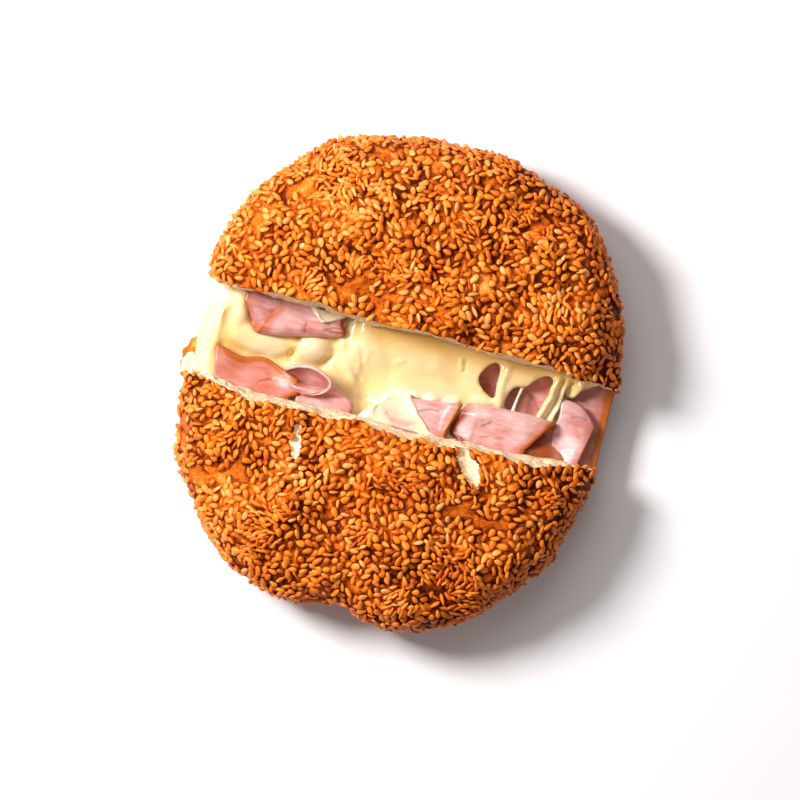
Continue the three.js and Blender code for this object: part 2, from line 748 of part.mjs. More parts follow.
function makeCheese() {
  let cheese = cheeseSlab();
  for (const { x, y, halfSizes, turn } of CHEESE_HOLES) {
    cheese = cheese.subtract(ellipsoid(halfSizes, turn, [x, y, LID_UNDERSIDE], 10));
  }
  cheese = cheese.add(cheeseThread());
  for (const slice of HAM_SLICES) cheese = cheese.subtract(sliceSolid(slice, CUTTING_MARGIN));
  for (const { halfSizes, turn, place } of TORN_ENDS) {
    const room = halfSizes.map((half) => half + 4 * CLEARANCE);
    const [x, y, z] = place;
    cheese = cheese.subtract(ellipsoid(room, turn, [x, y + FRONT * CUT, z], 8));
  }
  return largestBody(cheese);
}

// ---------------------------------------------------------------- materials and assembly

const finish = (name, color, roughness) =>
  new THREE.MeshStandardMaterial({ name, color, roughness, metalness: 0 });
const CRUST = finish("crust", 0xb5601f, 0.62);
const CHEESE = finish("cheese", 0xf3d68a, 0.32);
const HAM = finish("ham", 0xdf9a94, 0.45);

/** Puts a piece of one half of the loaf where the pull has left it. */
function inHalf(mesh, side) {
  const half = new THREE.Group();
  half.position.y = side * CUT;
  half.rotation.z = -side * HALF_TURN;
  half.add(mesh);
  return half;
}

const sandwich = new THREE.Group();
for (const [side, where, seed] of [
  [BACK, "back", 7],
  [FRONT, "front", 19],
]) {
  const random = seededRandom(seed);
  sandwich.add(inHalf(meshOf(`bread_lid_${where}`, makeLid(side, random), CRUST), side));
  sandwich.add(inHalf(meshOf(`bread_base_${where}`, makeBase(side, random), CRUST), side));
}
for (const slice of HAM_SLICES) sandwich.add(meshOf(slice.name, sliceSolid(slice, 0), HAM));
sandwich.add(meshOf("melted_cheese", makeCheese(), CHEESE));

// The origin is the middle of the base, whatever the outline's lumps come to.
const box = new THREE.Box3().setFromObject(sandwich, true);
const middle = box.getCenter(new THREE.Vector3());
sandwich.position.set(-middle.x, -middle.y, -box.min.z);

const root = new THREE.Group();
root.add(sandwich);

export default root;
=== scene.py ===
# A round sesame bread, split level and filled with melted cheese and folded ham, toasted, then
# cut across the middle and pulled apart.
#
# Lengths are millimetres until a mesh is made. Places are measured from the middle of the gap
# between the halves, and a half's own places from the middle of its cut. X runs along the cut and
# +Y points from the front half to the back half.

import itertools
import math

import bpy
import numpy as np
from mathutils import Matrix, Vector
from mathutils.bvhtree import BVHTree
from mathutils.kdtree import KDTree


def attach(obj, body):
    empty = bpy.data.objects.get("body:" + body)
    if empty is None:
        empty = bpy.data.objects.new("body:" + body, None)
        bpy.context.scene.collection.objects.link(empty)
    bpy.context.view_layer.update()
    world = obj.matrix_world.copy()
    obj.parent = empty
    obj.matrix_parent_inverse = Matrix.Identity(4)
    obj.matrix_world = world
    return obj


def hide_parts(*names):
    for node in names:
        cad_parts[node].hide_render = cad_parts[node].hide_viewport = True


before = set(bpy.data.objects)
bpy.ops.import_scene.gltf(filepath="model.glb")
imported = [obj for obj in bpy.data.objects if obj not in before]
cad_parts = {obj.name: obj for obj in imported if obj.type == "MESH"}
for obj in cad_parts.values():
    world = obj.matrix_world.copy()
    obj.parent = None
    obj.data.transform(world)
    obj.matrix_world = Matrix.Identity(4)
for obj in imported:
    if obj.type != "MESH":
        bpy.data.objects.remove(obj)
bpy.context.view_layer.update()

# ---------------------------------------------------------------- driving dimensions

MM = 0.001
GAP_MIDDLE = np.array([1.0955, 0.6245, 0.0])  # where the middle of the gap is in the frame

BREAD_RADIUS = 65.8
BREAD_HEIGHT = 40
GAP = 29
CUT = GAP / 2
MOUTH = CUT - 2.6  # where the filling is free of the bread
HALF_TURN = 0.014
EQUATOR = 14
BASE_TOP = 12
LID_UNDERSIDE = 19.5
LID_DROOP = 3.6
DROOP_START = 7 / 8
SIDE_POWER = 2.7
CLEARANCE = 0.3

HAM_THICKNESS = 1.2
HAM_HIGH = LID_UNDERSIDE - CLEARANCE - HAM_THICKNESS / 2
HAM_LOW = HAM_HIGH - CLEARANCE - HAM_THICKNESS
HAM_DEEP = BASE_TOP + CLEARANCE + HAM_THICKNESS / 2
HAM_REACH = 0.86
DEEP_REACH = 0.96
LEAST_TUCK = 2

FRONT = -1
BACK = 1
LID_GRAIN = 0.7  # spacing of the lids' meshes
BASE_GRAIN = 1.0
LID_LAYERS = 26  # of a lid's mesh from its underside up
BASE_LAYERS = 18
BASE_SETBACK = 1.0  # the bases' cut faces stand this far behind the lids'


# ---------------------------------------------------------------- helpers


def lerp(start, end, share):
    return start + (end - start) * share


def smoothstep(value, start, end):
    share = np.clip((value - start) / (end - start), 0, 1)
    return share * share * (3 - 2 * share)


def bump(distance, spread):
    """A bump of height 1 at 0 that fades out over about its spread."""
    return np.exp(-((distance / spread) ** 2))


def hashed(cells, seed):
    """A number from 0 to 1 for each cell of a lattice, without any pattern to the eye."""
    x, y, z = cells.T.astype(np.uint64)
    mixed = x * np.uint64(374761393) ^ y * np.uint64(668265263) ^ z * np.uint64(2246822519)
    mixed ^= np.uint64(seed * 3266489917)
    mixed = (mixed ^ mixed >> np.uint64(15)) * np.uint64(1274126177)
    mixed ^= mixed >> np.uint64(13)
    return (mixed & np.uint64(0xFFFF)).astype(float) / 0xFFFF


def noise(places, size, seed=0):
    """Smooth noise from -1 to 1 with lumps of about a size."""
    at = places / size
    cell = np.floor(at)
    part = at - cell
    fade = part * part * (3 - 2 * part)
    total = np.zeros(len(places))
    for corner in itertools.product((0, 1), repeat=3):
        weight = np.prod(np.where(corner, fade, 1 - fade), axis=1)
        total += weight * hashed((cell + corner).astype(np.int64), seed)
    return 2 * total - 1


def layered(places, layers, start=0.0):
    """A start value with layers of noise added, each with its height, size and seed."""
    total = start
    for height, size, seed in layers:
        total = total + height * noise(places, size, seed)
    return total


def unit(vectors):
    return vectors / np.maximum(np.linalg.norm(vectors, axis=-1, keepdims=True), 1e-12)


def vertex_normals(points, faces):
    """Normals of a mesh's vertices, from the faces round them."""
    across = points[faces[:, 2]] - points[faces[:, 0]]
    along = points[faces[:, -1]] - points[faces[:, 1]]
    facing = np.cross(across, along)
    total = np.zeros_like(points)
    for corner in faces.T:
        for axis in range(3):
            total[:, axis] += np.bincount(corner, facing[:, axis], len(points))
    return unit(total)


def box_surface(counts):
    """The grid on a box's surface: places from 0 to 1 along its edges, the quads between them with
    their faces out, and the number of the side that each quad is on, 2 * axis + end."""
    shape = [count + 1 for count in counts]
    shown = np.ones(shape, bool)
    shown[1:-1, 1:-1, 1:-1] = False
    number = np.full(shape, -1)
    number[shown] = np.arange(shown.sum())
    places = np.argwhere(shown) / np.array(counts)
    quads = []
    sides = []
    for axis, end in itertools.product(range(3), (0, 1)):
        side = np.take(number, -end, axis=axis)
        corners = [side[:-1, :-1], side[1:, :-1], side[1:, 1:], side[:-1, 1:]]
        ring = np.stack([corner.ravel() for corner in corners], axis=1)
        faces_out = (end == 1) != (axis == 1)
        quads.append(ring if faces_out else ring[:, ::-1])
        sides.append(np.full(len(ring), 2 * axis + end))
    return places, np.concatenate(quads), np.concatenate(sides)


def joined(parts):
    """Several (points, faces, tones) as one."""
    offsets = np.cumsum([0] + [len(points) for points, _, _ in parts])
    points = np.concatenate([points for points, _, _ in parts])
    faces = np.concatenate([faces + offset for (_, faces, _), offset in zip(parts, offsets)])
    tones = np.concatenate([tones for _, _, tones in parts])
    return points, faces, tones


def put_in_scene(name, data):
    """A new object of the scene from its mesh, lamp or camera."""
    made = bpy.data.objects.new(name, data)
    bpy.context.scene.collection.objects.link(made)
    return made


def mesh_piece(name, points, faces, tones, material, slot, stands_for=()):
    """A piece of the object from its points in millimetres, with a colour at each point."""
    mesh = bpy.data.meshes.new(name)
    corners = faces.shape[1]
    mesh.vertices.add(len(points))
    mesh.vertices.foreach_set("co", ((points + GAP_MIDDLE) * MM).ravel())
    mesh.loops.add(faces.size)
    mesh.loops.foreach_set("vertex_index", faces.astype(np.int32).ravel())
    mesh.polygons.add(len(faces))
    mesh.polygons.foreach_set("loop_start", np.arange(0, faces.size, corners, dtype=np.int32))
    mesh.polygons.foreach_set("use_smooth", np.ones(len(faces), bool))
    mesh.update(calc_edges=True)
    colours = mesh.color_attributes.new("tone", "FLOAT_COLOR", "POINT")
    opaque = np.concatenate([tones, np.ones((len(points), 1))], axis=1)
    colours.data.foreach_set("color", opaque.ravel())
    mesh.materials.append(material)
    piece = put_in_scene(name, mesh)
    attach(piece, "root")
    if stands_for:
        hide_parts(*stands_for)
    return piece


# ---------------------------------------------------------------- materials


class Shading:
    """A material's nodes, with a short call for each kind that repeats."""

    def __init__(self, name, **sockets):
        self.material = bpy.data.materials.new(name)
        self.material.use_nodes = True
        self.tree = self.material.node_tree
        self.shader = self.tree.nodes["Principled BSDF"]
        self.set(self.shader, sockets)
        place = self.node("ShaderNodeTexCoord")
        self.place = place.outputs["Object"]
        self.tone = self.node("ShaderNodeSeparateColor", Color=self.attribute("tone")).outputs

    def node(self, kind, settings=None, **sockets):
        made = self.tree.nodes.new(kind)
        for key, value in (settings or {}).items():
            setattr(made, key, value)
        self.set(made, sockets)
        return made

    def plug(self, socket, value):
        """Gives a socket the output of another node, or a plain value."""
        if isinstance(value, bpy.types.NodeSocket):
            self.tree.links.new(value, socket)
        else:
            socket.default_value = value

    def set(self, node, sockets):
        for key, value in sockets.items():
            self.plug(node.inputs[key.replace("_", " ")], value)

    def attribute(self, name):
        return self.node("ShaderNodeAttribute", {"attribute_name": name}).outputs["Color"]

    def noise(self, size, detail=3.0, stretch=(1, 1, 1), distortion=0.0):
        """Noise from 0 to 1 with lumps of about a size in millimetres."""
        place = self.place
        if stretch != (1, 1, 1):
            scaling = self.node("ShaderNodeVectorMath", {"operation": "MULTIPLY"})
            self.plug(scaling.inputs[0], self.place)
            self.plug(scaling.inputs[1], stretch)
            place = scaling.outputs[0]
        settings = {"Scale": 1 / (size * MM), "Detail": detail, "Distortion": distortion}
        made = self.node("ShaderNodeTexNoise", Vector=place, **settings)
        return made.outputs["Fac"]

    def add(self, first, second):
        made = self.node("ShaderNodeMath", {"operation": "ADD"})
        self.plug(made.inputs[0], first)
        self.plug(made.inputs[1], second)
        return made.outputs[0]

    def between(self, value, start, end, low=0.0, high=1.0):
        """A value's place between two values, smoothly, on a new scale."""
        made = self.node("ShaderNodeMapRange", {"interpolation_type": "SMOOTHSTEP"}, Value=value)
        self.set(made, {"From_Min": start, "From_Max": end, "To_Min": low, "To_Max": high})
        return made.outputs[0]

    def ramp(self, value, stops):
        """A colour for each value, from (value, colour) stops."""
        made = self.node("ShaderNodeValToRGB", Fac=value)
        elements = made.color_ramp.elements
        while len(elements) < len(stops):
            elements.new(0.5)
        for element, (place, colour) in zip(elements, stops):
            element.position = place
            element.color = (*colour, 1)
        return made.outputs["Color"]

    def mix(self, share, first, second, blend="MIX"):
        made = self.node("ShaderNodeMix", {"data_type": "RGBA", "blend_type": blend})
        for index, value in {0: share, 6: first, 7: second}.items():
            self.plug(made.inputs[index], (*value, 1) if isinstance(value, tuple) else value)
        return made.outputs[2]

    def bump(self, height, depth, before=None):
        """Relief of a depth in millimetres."""
        made = self.node("ShaderNodeBump", Height=height, Distance=depth * MM)
        if before is not None:
            self.plug(made.inputs["Normal"], before)
        return made.outputs["Normal"]


PALE_CRUST = (0.95, 0.38, 0.085)
GOLDEN_CRUST = (0.84, 0.17, 0.010)
BROWN_CRUST = (0.46, 0.075, 0.004)
DARK_CRUST = (0.095, 0.010, 0.001)
CRUMB = (0.95, 0.77, 0.53)
CRUMB_SHADE = (0.84, 0.56, 0.29)


def bread_material():
    """Browned crust whose tone's red tells how toasted it is and green how much crumb shows."""
    shading = Shading(
        "bread",
        Roughness=0.55,
        Specular_IOR_Level=0.16,
        Specular_Tint=(1.0, 0.55, 0.25, 1),
    )
    coarse = shading.noise(3.2, detail=4.0)
    fine = shading.noise(0.9, detail=4.0, distortion=0.6)
    mottled = shading.add(shading.tone[0], shading.between(coarse, 0.25, 0.75, -0.16, 0.16))
    mottled = shading.add(mottled, shading.between(fine, 0.3, 0.7, -0.13, 0.13))
    crust = shading.ramp(
        mottled, [(0.1, PALE_CRUST), (0.4, GOLDEN_CRUST), (0.68, BROWN_CRUST), (0.95, DARK_CRUST)]
    )
    pores = shading.noise(1.1, detail=3.0)
    # The crumb is darker in its pores, painted shade.
    crumb = shading.ramp(pores, [(0.36, CRUMB_SHADE), (0.52, CRUMB)])
    ragged = shading.add(shading.tone[1], shading.between(coarse, 0.3, 0.7, -0.2, 0.2))
    bare = shading.between(ragged, 0.42, 0.58)
    relief = shading.bump(fine, 0.35)
    relief = shading.bump(pores, 0.25, relief)
    shading.set(shading.shader, {"Base_Color": shading.mix(bare, crust, crumb), "Normal": relief})
    return shading.material


def seed_material():
    """Toasted sesame, whose colour is given for each seed."""
    shading = Shading(
        "sesame",
        Roughness=0.42,
        Specular_IOR_Level=0.42,
        Specular_Tint=(1.0, 0.8, 0.55, 1),
    )
    streaks = shading.noise(0.5, detail=3.0)
    shade = shading.ramp(streaks, [(0.3, (0.80, 0.74, 0.66)), (0.6, (1, 1, 1))])
    colour = shading.mix(1.0, shading.attribute("tone"), shade, "MULTIPLY")
    shading.set(shading.shader, {"Base_Color": colour, "Normal": shading.bump(streaks, 0.08)})
    return shading.material


CHEESE = (0.86, 0.665, 0.35)
CHEESE_DEEP_AND_SHADE = (0.93, 0.60, 0.17)
CHEESE_CREAM = (0.87, 0.765, 0.56)
CHEESE_THIN = (0.78, 0.43, 0.35)


def cheese_material():
    """Melted cheese. Its tone's red tells how creamy a place is, green how much deep yellow and painted
    shade it has, and blue how much ham shows through."""
    shading = Shading(
        "cheese",
        Roughness=0.22,
        Subsurface_Weight=0.35,
        Subsurface_Radius=(1.0, 0.62, 0.25),
        Subsurface_Scale=2.5 * MM,
        Specular_IOR_Level=0.5,
        Coat_Weight=0.5,
        Coat_Roughness=0.08,
    )
    clouds = shading.noise(9.0, detail=4.0)
    colour = shading.mix(shading.between(clouds, 0.35, 0.7, 0.0, 0.35), CHEESE, CHEESE_DEEP_AND_SHADE)
    colour = shading.mix(shading.tone[0], colour, CHEESE_CREAM)
    colour = shading.mix(shading.tone[1], colour, CHEESE_DEEP_AND_SHADE)
    colour = shading.mix(shading.tone[2], colour, CHEESE_THIN)
    fine = shading.noise(1.6, detail=3.0)
    shading.set(shading.shader, {"Base_Color": colour, "Normal": shading.bump(fine, 0.10)})
    return shading.material


HAM_WARM = (0.52, 0.15, 0.08)
HAM = (0.60, 0.235, 0.205)
HAM_PALE = (0.73, 0.49, 0.47)
RIND = (0.42, 0.10, 0.008)
# Painted shade for the ham: in its creases, inside its fold and roll, under a neighbouring flap and seen
# through the cheese's holes.
HAM_PAINTED_SHADE = (0.26, 0.036, 0.006)


def ham_material():
    """Cooked ham. Its tone's red tells how much rind, green how much painted shade and blue how pale it
    is.
    """
    shading = Shading(
        "ham",
        Roughness=0.36,
        Subsurface_Weight=0.2,
        Subsurface_Radius=(1.0, 0.35, 0.25),
        Subsurface_Scale=1.5 * MM,
        Specular_IOR_Level=0.4,
        Coat_Weight=0.1,
        Coat_Roughness=0.2,
    )
    clouds = shading.noise(6.0, detail=4.0, distortion=0.8)
    fibres = shading.noise(1.8, detail=4.0, stretch=(0.3, 1.0, 1.0), distortion=0.5)
    pale = shading.add(shading.tone[2], shading.between(clouds, 0.3, 0.7, -0.12, 0.12))
    pale = shading.add(pale, shading.between(fibres, 0.35, 0.7, -0.1, 0.16))
    colour = shading.ramp(pale, [(0.0, HAM_WARM), (0.5, HAM), (1.0, HAM_PALE)])
    colour = shading.mix(shading.tone[1], colour, HAM_PAINTED_SHADE)
    colour = shading.mix(shading.tone[0], colour, RIND)
    relief = shading.bump(fibres, 0.18)
    relief = shading.bump(shading.noise(0.7, detail=3.0), 0.06, relief)
    shading.set(shading.shader, {"Base_Color": colour, "Normal": relief})
    return shading.material


# ---------------------------------------------------------------- the loaf

FLATS = [(93, 32, 5.4), (-93, 16, 6.8), (-38, 12, 1.4)]  # bearing, spread in degrees, depth
SWELLS = [(9, 0.45, 1.0), (14, 0.35, 2.3)]  # how many round the loaf, height, start


def outline_radius(bearing):
    """Distance of the loaf's outline from its centre, at a bearing in radians."""
    radius = np.full(np.shape(bearing), float(BREAD_RADIUS))
    for middle, spread, depth in FLATS:
        turned = bearing - math.radians(middle)
        away = (turned + np.pi) % (2 * np.pi) - np.pi
        radius -= depth * bump(away, math.radians(spread))
    for count, height, start in SWELLS:
        radius += height * np.sin(count * bearing + start)
    return radius


def share_out(x, y):
    """A place's distance from the loaf's centre as a share of the outline's there."""
    return np.hypot(x, y) / outline_radius(np.arctan2(y, x))


SEARCH_STEPS = 20


def extent_within(reach, place_at, shape):
    """How far lines of places, from the loaf's inside outwards, stay within a share of it."""
    inside = np.zeros(shape)
    outside = np.full(shape, 1.2 * BREAD_RADIUS)
    for _ in range(SEARCH_STEPS):
        middle = (inside + outside) / 2
        within = share_out(*place_at(middle)) < reach
        inside = np.where(within, middle, inside)
        outside = np.where(within, outside, middle)
    return inside


RELIEF_WAVES = 6
RELIEF_LONGEST = 38
RELIEF_SHORTENING = 0.78
RELIEF_HIGHEST = 0.75
RELIEF_LOWERING = 0.85
CUT_ROLL_OFF = (3.2, 7)  # depth and spread of the crust that the knife pressed down
GOLDEN_ANGLE = math.pi * (3 - math.sqrt(5))


def crust_relief(x, y):
    """Height of the crust's lumps over the even dome."""
    height = np.zeros(np.shape(x))
    for wave in range(RELIEF_WAVES):
        heading = wave * GOLDEN_ANGLE
        rate = 2 * math.pi / (RELIEF_LONGEST * RELIEF_SHORTENING**wave)
        along = x * math.cos(heading) + y * math.sin(heading)
        height += RELIEF_HIGHEST * RELIEF_LOWERING**wave * np.sin(rate * along + 1.7 * wave)
    depth, spread = CUT_ROLL_OFF
    return height - depth * bump(y, spread)


def crust_height(x, y, z):
    return z + smoothstep(z, LID_UNDERSIDE, BREAD_HEIGHT - 6) * crust_relief(x, y)


def loaf_reach(is_above):
    """How far the even loaf reaches up, or down, from its equator."""
    return np.where(is_above, BREAD_HEIGHT - EQUATOR, 1.35 * EQUATOR)


def loaf_section(angle):
    """The even loaf's section: share of its radius and height, at an angle from its equator."""
    share = np.maximum(0, np.cos(angle)) ** (2 / SIDE_POWER)
    climb = loaf_reach(angle > 0) * np.sin(np.abs(angle)) ** (2 / SIDE_POWER)
    return np.stack([share, EQUATOR + np.sign(angle) * climb], axis=-1)


def section_angle(height):
    climb = abs(height - EQUATOR) / float(loaf_reach(height > EQUATOR))
    return math.copysign(math.asin(climb ** (SIDE_POWER / 2)), height - EQUATOR)


LID_RIM = section_angle(LID_UNDERSIDE - LID_DROOP)
LID_BROW = math.pi / 6
BASE_RIM = section_angle(BASE_TOP)
BASE_FOOT = section_angle(0)


def lid_under(ring):
    """The lid's level underside, which droops at its rim."""
    drooped = np.clip((ring - DROOP_START) / (1 - DROOP_START), 0, 1)
    return np.stack([ring * loaf_section(LID_RIM)[0], LID_UNDERSIDE - LID_DROOP * drooped], axis=-1)


def lid_top(ring):
    return loaf_section(lerp(math.pi / 2, LID_BROW, ring**1.35))


def lid_wall(climb):
    return loaf_section(lerp(LID_RIM, LID_BROW, climb))


def base_under(ring):
    return np.stack([ring * loaf_section(BASE_FOOT)[0], np.zeros_like(ring)], axis=-1)


def base_top(ring):
    return np.stack([ring * loaf_section(BASE_RIM)[0], np.full_like(ring, BASE_TOP)], axis=-1)


def base_wall(climb):
    return loaf_section(lerp(BASE_FOOT, BASE_RIM, climb))


# ---------------------------------------------------------------- the cut

CUT_LEAN = {BACK: 0.06, FRONT: 0.14}
CUT_WAVES = [(38, 0.35), (82, 0.35)]  # length, height
TORN_CRUMB = [(0.45, 7, 3), (0.4, 2.6, 4), (0.25, 1.2, 5)]  # layers of noise: height, size, seed
OVERHANG = [(1, 9, 6), (0.5, 4, 7)]
LEDGES = [(-60, 11, 2.6), (52, 10, 1.4)]  # x, spread and depth of the crumb that stands out


def cut_face(x, z, side):
    """Where a cut face stands, measured from the loaf's middle into the half."""
    depth = CUT_LEAN[side] * (z - LID_UNDERSIDE)
    for length, height in CUT_WAVES:
        depth = depth + height * np.sin(2 * math.pi * x / length + length)
    return depth


def cut_raggedness(x, z, side):
    """How far the torn crumb stands in or out of the cut face."""
    places = np.stack([x, np.full_like(x, 40.0 * side), z], axis=1)
    ragged = layered(places, TORN_CRUMB)
    overhang = layered(places * (1, 1, 0), OVERHANG)
    ragged -= 0.09 * np.clip(z - LID_UNDERSIDE, 0, 14) * overhang
    if side == FRONT:
        for middle, spread, depth in LEDGES:
            ragged -= depth * bump(x - middle, spread) * (1 - smoothstep(z, 24, 32))
    return ragged


# ---------------------------------------------------------------- the bread's halves

# Where the front lid's crust has burst: place in the half, half-sizes and turn.
TEARS = [
    (27.4, -7.4, (2.6, 7.4, 2.4), 0.62),
    (-26.6, -11.6, (1.7, 6.4, 1.4), 0.12),
]

# Ragged lumps at the ends of the front base's cut: half-sizes, turn and place in the half.
TORN_ENDS = [
    ((6.6, 8.4, 4.6), 0.12, (-62, 4.8, 5.4)),
    ((4.2, 4.6, 3.4), -0.4, (57.4, 1.2, 6.2)),
]

# Pits in the crust, darker with toast and painted shade, and pale bare spots on it, in the gap's frame: x,
# y, spread.
PITS = [
    (-30.7, 32.1, 3.4),
    (-37.2, 27.9, 2.8),
    (-46.1, 34.7, 3.0),
    (-49.6, 45.0, 2.6),
    (17.5, 20.1, 2.6),
    (21.2, 44.9, 2.8),
    (2.6, 34.3, 3.0),
    (20.0, 27.9, 2.6),
    (2.2, 62.7, 2.8),
    (-43.4, -30.0, 3.4),
    (-46.1, -38.4, 3.0),
    (-36.5, -35.8, 3.2),
    (-18.4, -31.6, 2.4),
    (9.0, -37.0, 3.0),
    (-12.0, -49.0, 3.4),
    (31.0, -52.0, 3.0),
]
BARE_SPOTS = [(17.4, 33.0, 4.2), (-33.1, 35.4, 3.4), (-51.9, 39.6, 3.0), (-14.0, -30.0, 2.2)]
PIT_DEPTH = 2.1
BARE_RISE = 0.7

# Layers of noise: height, size and seed.
WIDE_WRINKLES = [(0.55, 8, 36), (0.5, 4.2, 31)]
FINE_WRINKLES = [(0.38, 2.2, 32), (0.22, 1.2, 33)]
CRACK_DEPTH = 0.6
CRACK_WIDTHS = (0.02, 0.16)  # in the noise that the cracks follow, from their bottom to their border
TEAR_EDGE = [(0.16, 3, 21), (0.08, 1.3, 22)]
TORN_END_LUMPS = [(1.7, 3.4, 91), (0.8, 1.6, 92)]

# How toasted the crust is, from 0 to 1, and what adds to that or takes from it. The darker rim and right
# side and the darker pits are partly painted shade.
TOAST = 0.42
TOAST_CLOUDS = [(0.12, 14, 11), (0.14, 5, 12)]
FRONT_DARKENING = 0.04
RIM_TOAST_AND_SHADE = 0.44
PIT_TOAST_AND_SHADE = 0.42
BARE_PALENESS = 0.34
CRACK_TOAST = 0.42
MOST_TOASTED_AND_SHADED = math.radians(-12)  # bearing of the loaf's most toasted side, which also gets the most painted shade


def spots_at(points, spots):
    """How near each point is to each of several spots, from 0 to 1."""
    for x, y, spread in spots:
        yield bump(np.hypot(points[:, 0] - x, points[:, 1] - y), spread)


def tear_share(x, y, tear):
    """Distance from a tear's middle as a share of its outline's there, and whether it is left."""
    middle_x, middle_y, (wide, long, _), turn = tear
    away_x = x - middle_x
    away_y = y - middle_y
    across = away_x * math.cos(turn) + away_y * math.sin(turn)
    along = away_y * math.cos(turn) - away_x * math.sin(turn)
    return np.hypot(across / wide, along / long), across < 0


def to_gap(points, side):
    """Points of a half in the frame of the gap, where the pull has left them."""
    turn = -side * HALF_TURN
    x = points[:, 0] * math.cos(turn) - points[:, 1] * math.sin(turn)
    y = points[:, 0] * math.sin(turn) + points[:, 1] * math.cos(turn) + side * CUT
    return np.stack([x, y, points[:, 2]], axis=1)


def wrinkles(points):
    """The rise of the crust's wrinkles at each point, and how deep in a crack it is from 0 to 1."""
    rise = layered(points, WIDE_WRINKLES)
    rise += layered(points, FINE_WRINKLES)
    cracks = 1 - smoothstep(np.abs(noise(points, 4.6, 34)), *CRACK_WIDTHS)
    cracks *= smoothstep(noise(points, 11, 35), -0.1, 0.3)
    return rise - CRACK_DEPTH * cracks, cracks


def pores(points):
    """The depth of the crumb's pores at each point."""
    fine = smoothstep(noise(points, 1.9, 41), 0.25, 0.7)
    wide = smoothstep(noise(points, 4.2, 42), 0.4, 0.8)
    return 0.6 * fine + 0.8 * wide


SKIN, FACE, HIDDEN = 0, 1, 2  # what a point of a half belongs to
RIM_SHARPNESS = 6  # how late, on its way out, a section bends to the wall
CUT_FADING = 12  # how far into a half the shape of its cut face fades out
SETTLING_ROUNDS = 3  # as the cut face depends on the crust's height, and that on the cut face


def half_grid(side, under, top, wall, setback, grain, layers):
    """The points of a half of a lid or base: in the half's frame, with their quads, what each point
    belongs to, its share of the way out and its share of the way up."""
    across = round(BREAD_RADIUS / grain)
    places, quads, _ = box_surface((2 * across, across, layers))
    a = 2 * places[:, 0] - 1
    b = places[:, 1]
    c = places[:, 2]
    ring = np.maximum(np.abs(a), b)
    beside = np.abs(a) >= b
    with np.errstate(divide="ignore", invalid="ignore"):
        bearing = np.where(beside, math.pi / 4 * b / a, math.pi / 2 - math.pi / 4 * a / b)
    bearing = np.where(beside & (a < 0), bearing + math.pi, bearing)
    bearing = np.where(ring == 0, 0, bearing)

    level = lerp(under(ring), top(ring), c[:, None])
    at_rim = wall(c) - lerp(under(np.ones_like(c)), top(np.ones_like(c)), c[:, None])
    section = level + ring[:, None] ** RIM_SHARPNESS * at_rim
    radius = section[:, 0] * outline_radius(side * bearing)
    x = radius * np.cos(bearing)
    inward = radius * np.sin(bearing)
    z = section[:, 1]
    for _ in range(SETTLING_ROUNDS):
        height = crust_height(x, side * inward, z)
        depth = setback + cut_face(x, height, side) + cut_raggedness(x, height, side)
        y = inward + depth * np.exp(-inward / CUT_FADING)
        height = crust_height(x, side * y, z)
    points = np.stack([x, side * y, height], axis=1)
    kind = np.where(c == 0, HIDDEN, SKIN)
    kind = np.where((b == 0) & (ring < 1), FACE, kind)
    if side == FRONT:
        quads = quads[:, ::-1]
    return points, quads, kind, ring, c


def crust_tone(points, x, y, cracks):
    """How toasted the crust is at each point, from 0 to 1, with painted shade on the rim, on the
    right side and in the pits. X and Y are the places in the half.
    """
    toast = layered(points, TOAST_CLOUDS, TOAST)
    # The front half's crust is made darker.
    toast += FRONT_DARKENING * (points[:, 1] < 0)
    share = share_out(x, y)
    # Painted shade and toast: the rim, most of all on the right side away from the key lamp, and the right
    # side further in, are darker.
    rim = smoothstep(share, 0.84, 1.0)
    right = 0.5 + 0.5 * np.cos(np.arctan2(y, x) - MOST_TOASTED_AND_SHADED)
    toast += rim * (RIM_TOAST_AND_SHADE * right**1.5 + 0.02) + 0.05 * right * smoothstep(share, 0.45, 0.8)
    # Painted shade and toast darken the pits.
    for near in spots_at(points, PITS):
        toast += PIT_TOAST_AND_SHADE * near
    for near in spots_at(points, BARE_SPOTS):
        toast -= BARE_PALENESS * near
    return toast + CRACK_TOAST * cracks


def pitted(points, up):
    """Lowers the crust into its pits and raises it at its bare spots."""
    for near in spots_at(points, PITS):
        points[:, 2] -= PIT_DEPTH * up * near
    for near in spots_at(points, BARE_SPOTS):
        points[:, 2] += BARE_RISE * up * near
    return points


def lid_half(side):
    points, quads, kind, _, climb = half_grid(side, lid_under, lid_top, lid_wall, 0, LID_GRAIN, LID_LAYERS)
    near_top = climb**4
    bare = np.zeros(len(points))
    dark_left_border = np.zeros(len(points))
    local_x, local_y = points[:, 0].copy(), points[:, 1].copy()
    if side == FRONT:
        for tear in TEARS:
            share, is_left = tear_share(local_x, local_y, tear)
            share = layered(points, TEAR_EDGE, share)
            points[:, 2] -= near_top * tear[2][2] * np.sqrt(np.clip(1 - share**2, 0, 1))
            points[:, 2] += near_top * 0.5 * bump(share - 1.12, 0.14)
            bare = np.maximum(bare, 1 - smoothstep(share, 0.84, 0.98))
            # The tear is darker along its left border.
            dark_left_border = np.maximum(dark_left_border, bump(share - 1.0, 0.16) * is_left)
    points = to_gap(points, side)
    points = pitted(points, near_top)
    normals = vertex_normals(points, quads)
    rise, cracks = wrinkles(points)
    lift = np.where(kind == SKIN, rise * (1 - 0.7 * bare), np.where(kind == FACE, -pores(points), 0))
    points = points + normals * lift[:, None]

    toast = crust_tone(points, local_x, local_y, cracks)
    face = np.where(kind == FACE, 1.0, 0.0)
    edge = smoothstep(climb, 0.93, 0.99)
    crumb = np.maximum(face * (1 - edge), bare)
    toast = toast + 0.15 * face + 0.5 * dark_left_border
    tones = np.stack([toast, crumb, np.zeros(len(points))], axis=1)
    return points, quads, tones, kind


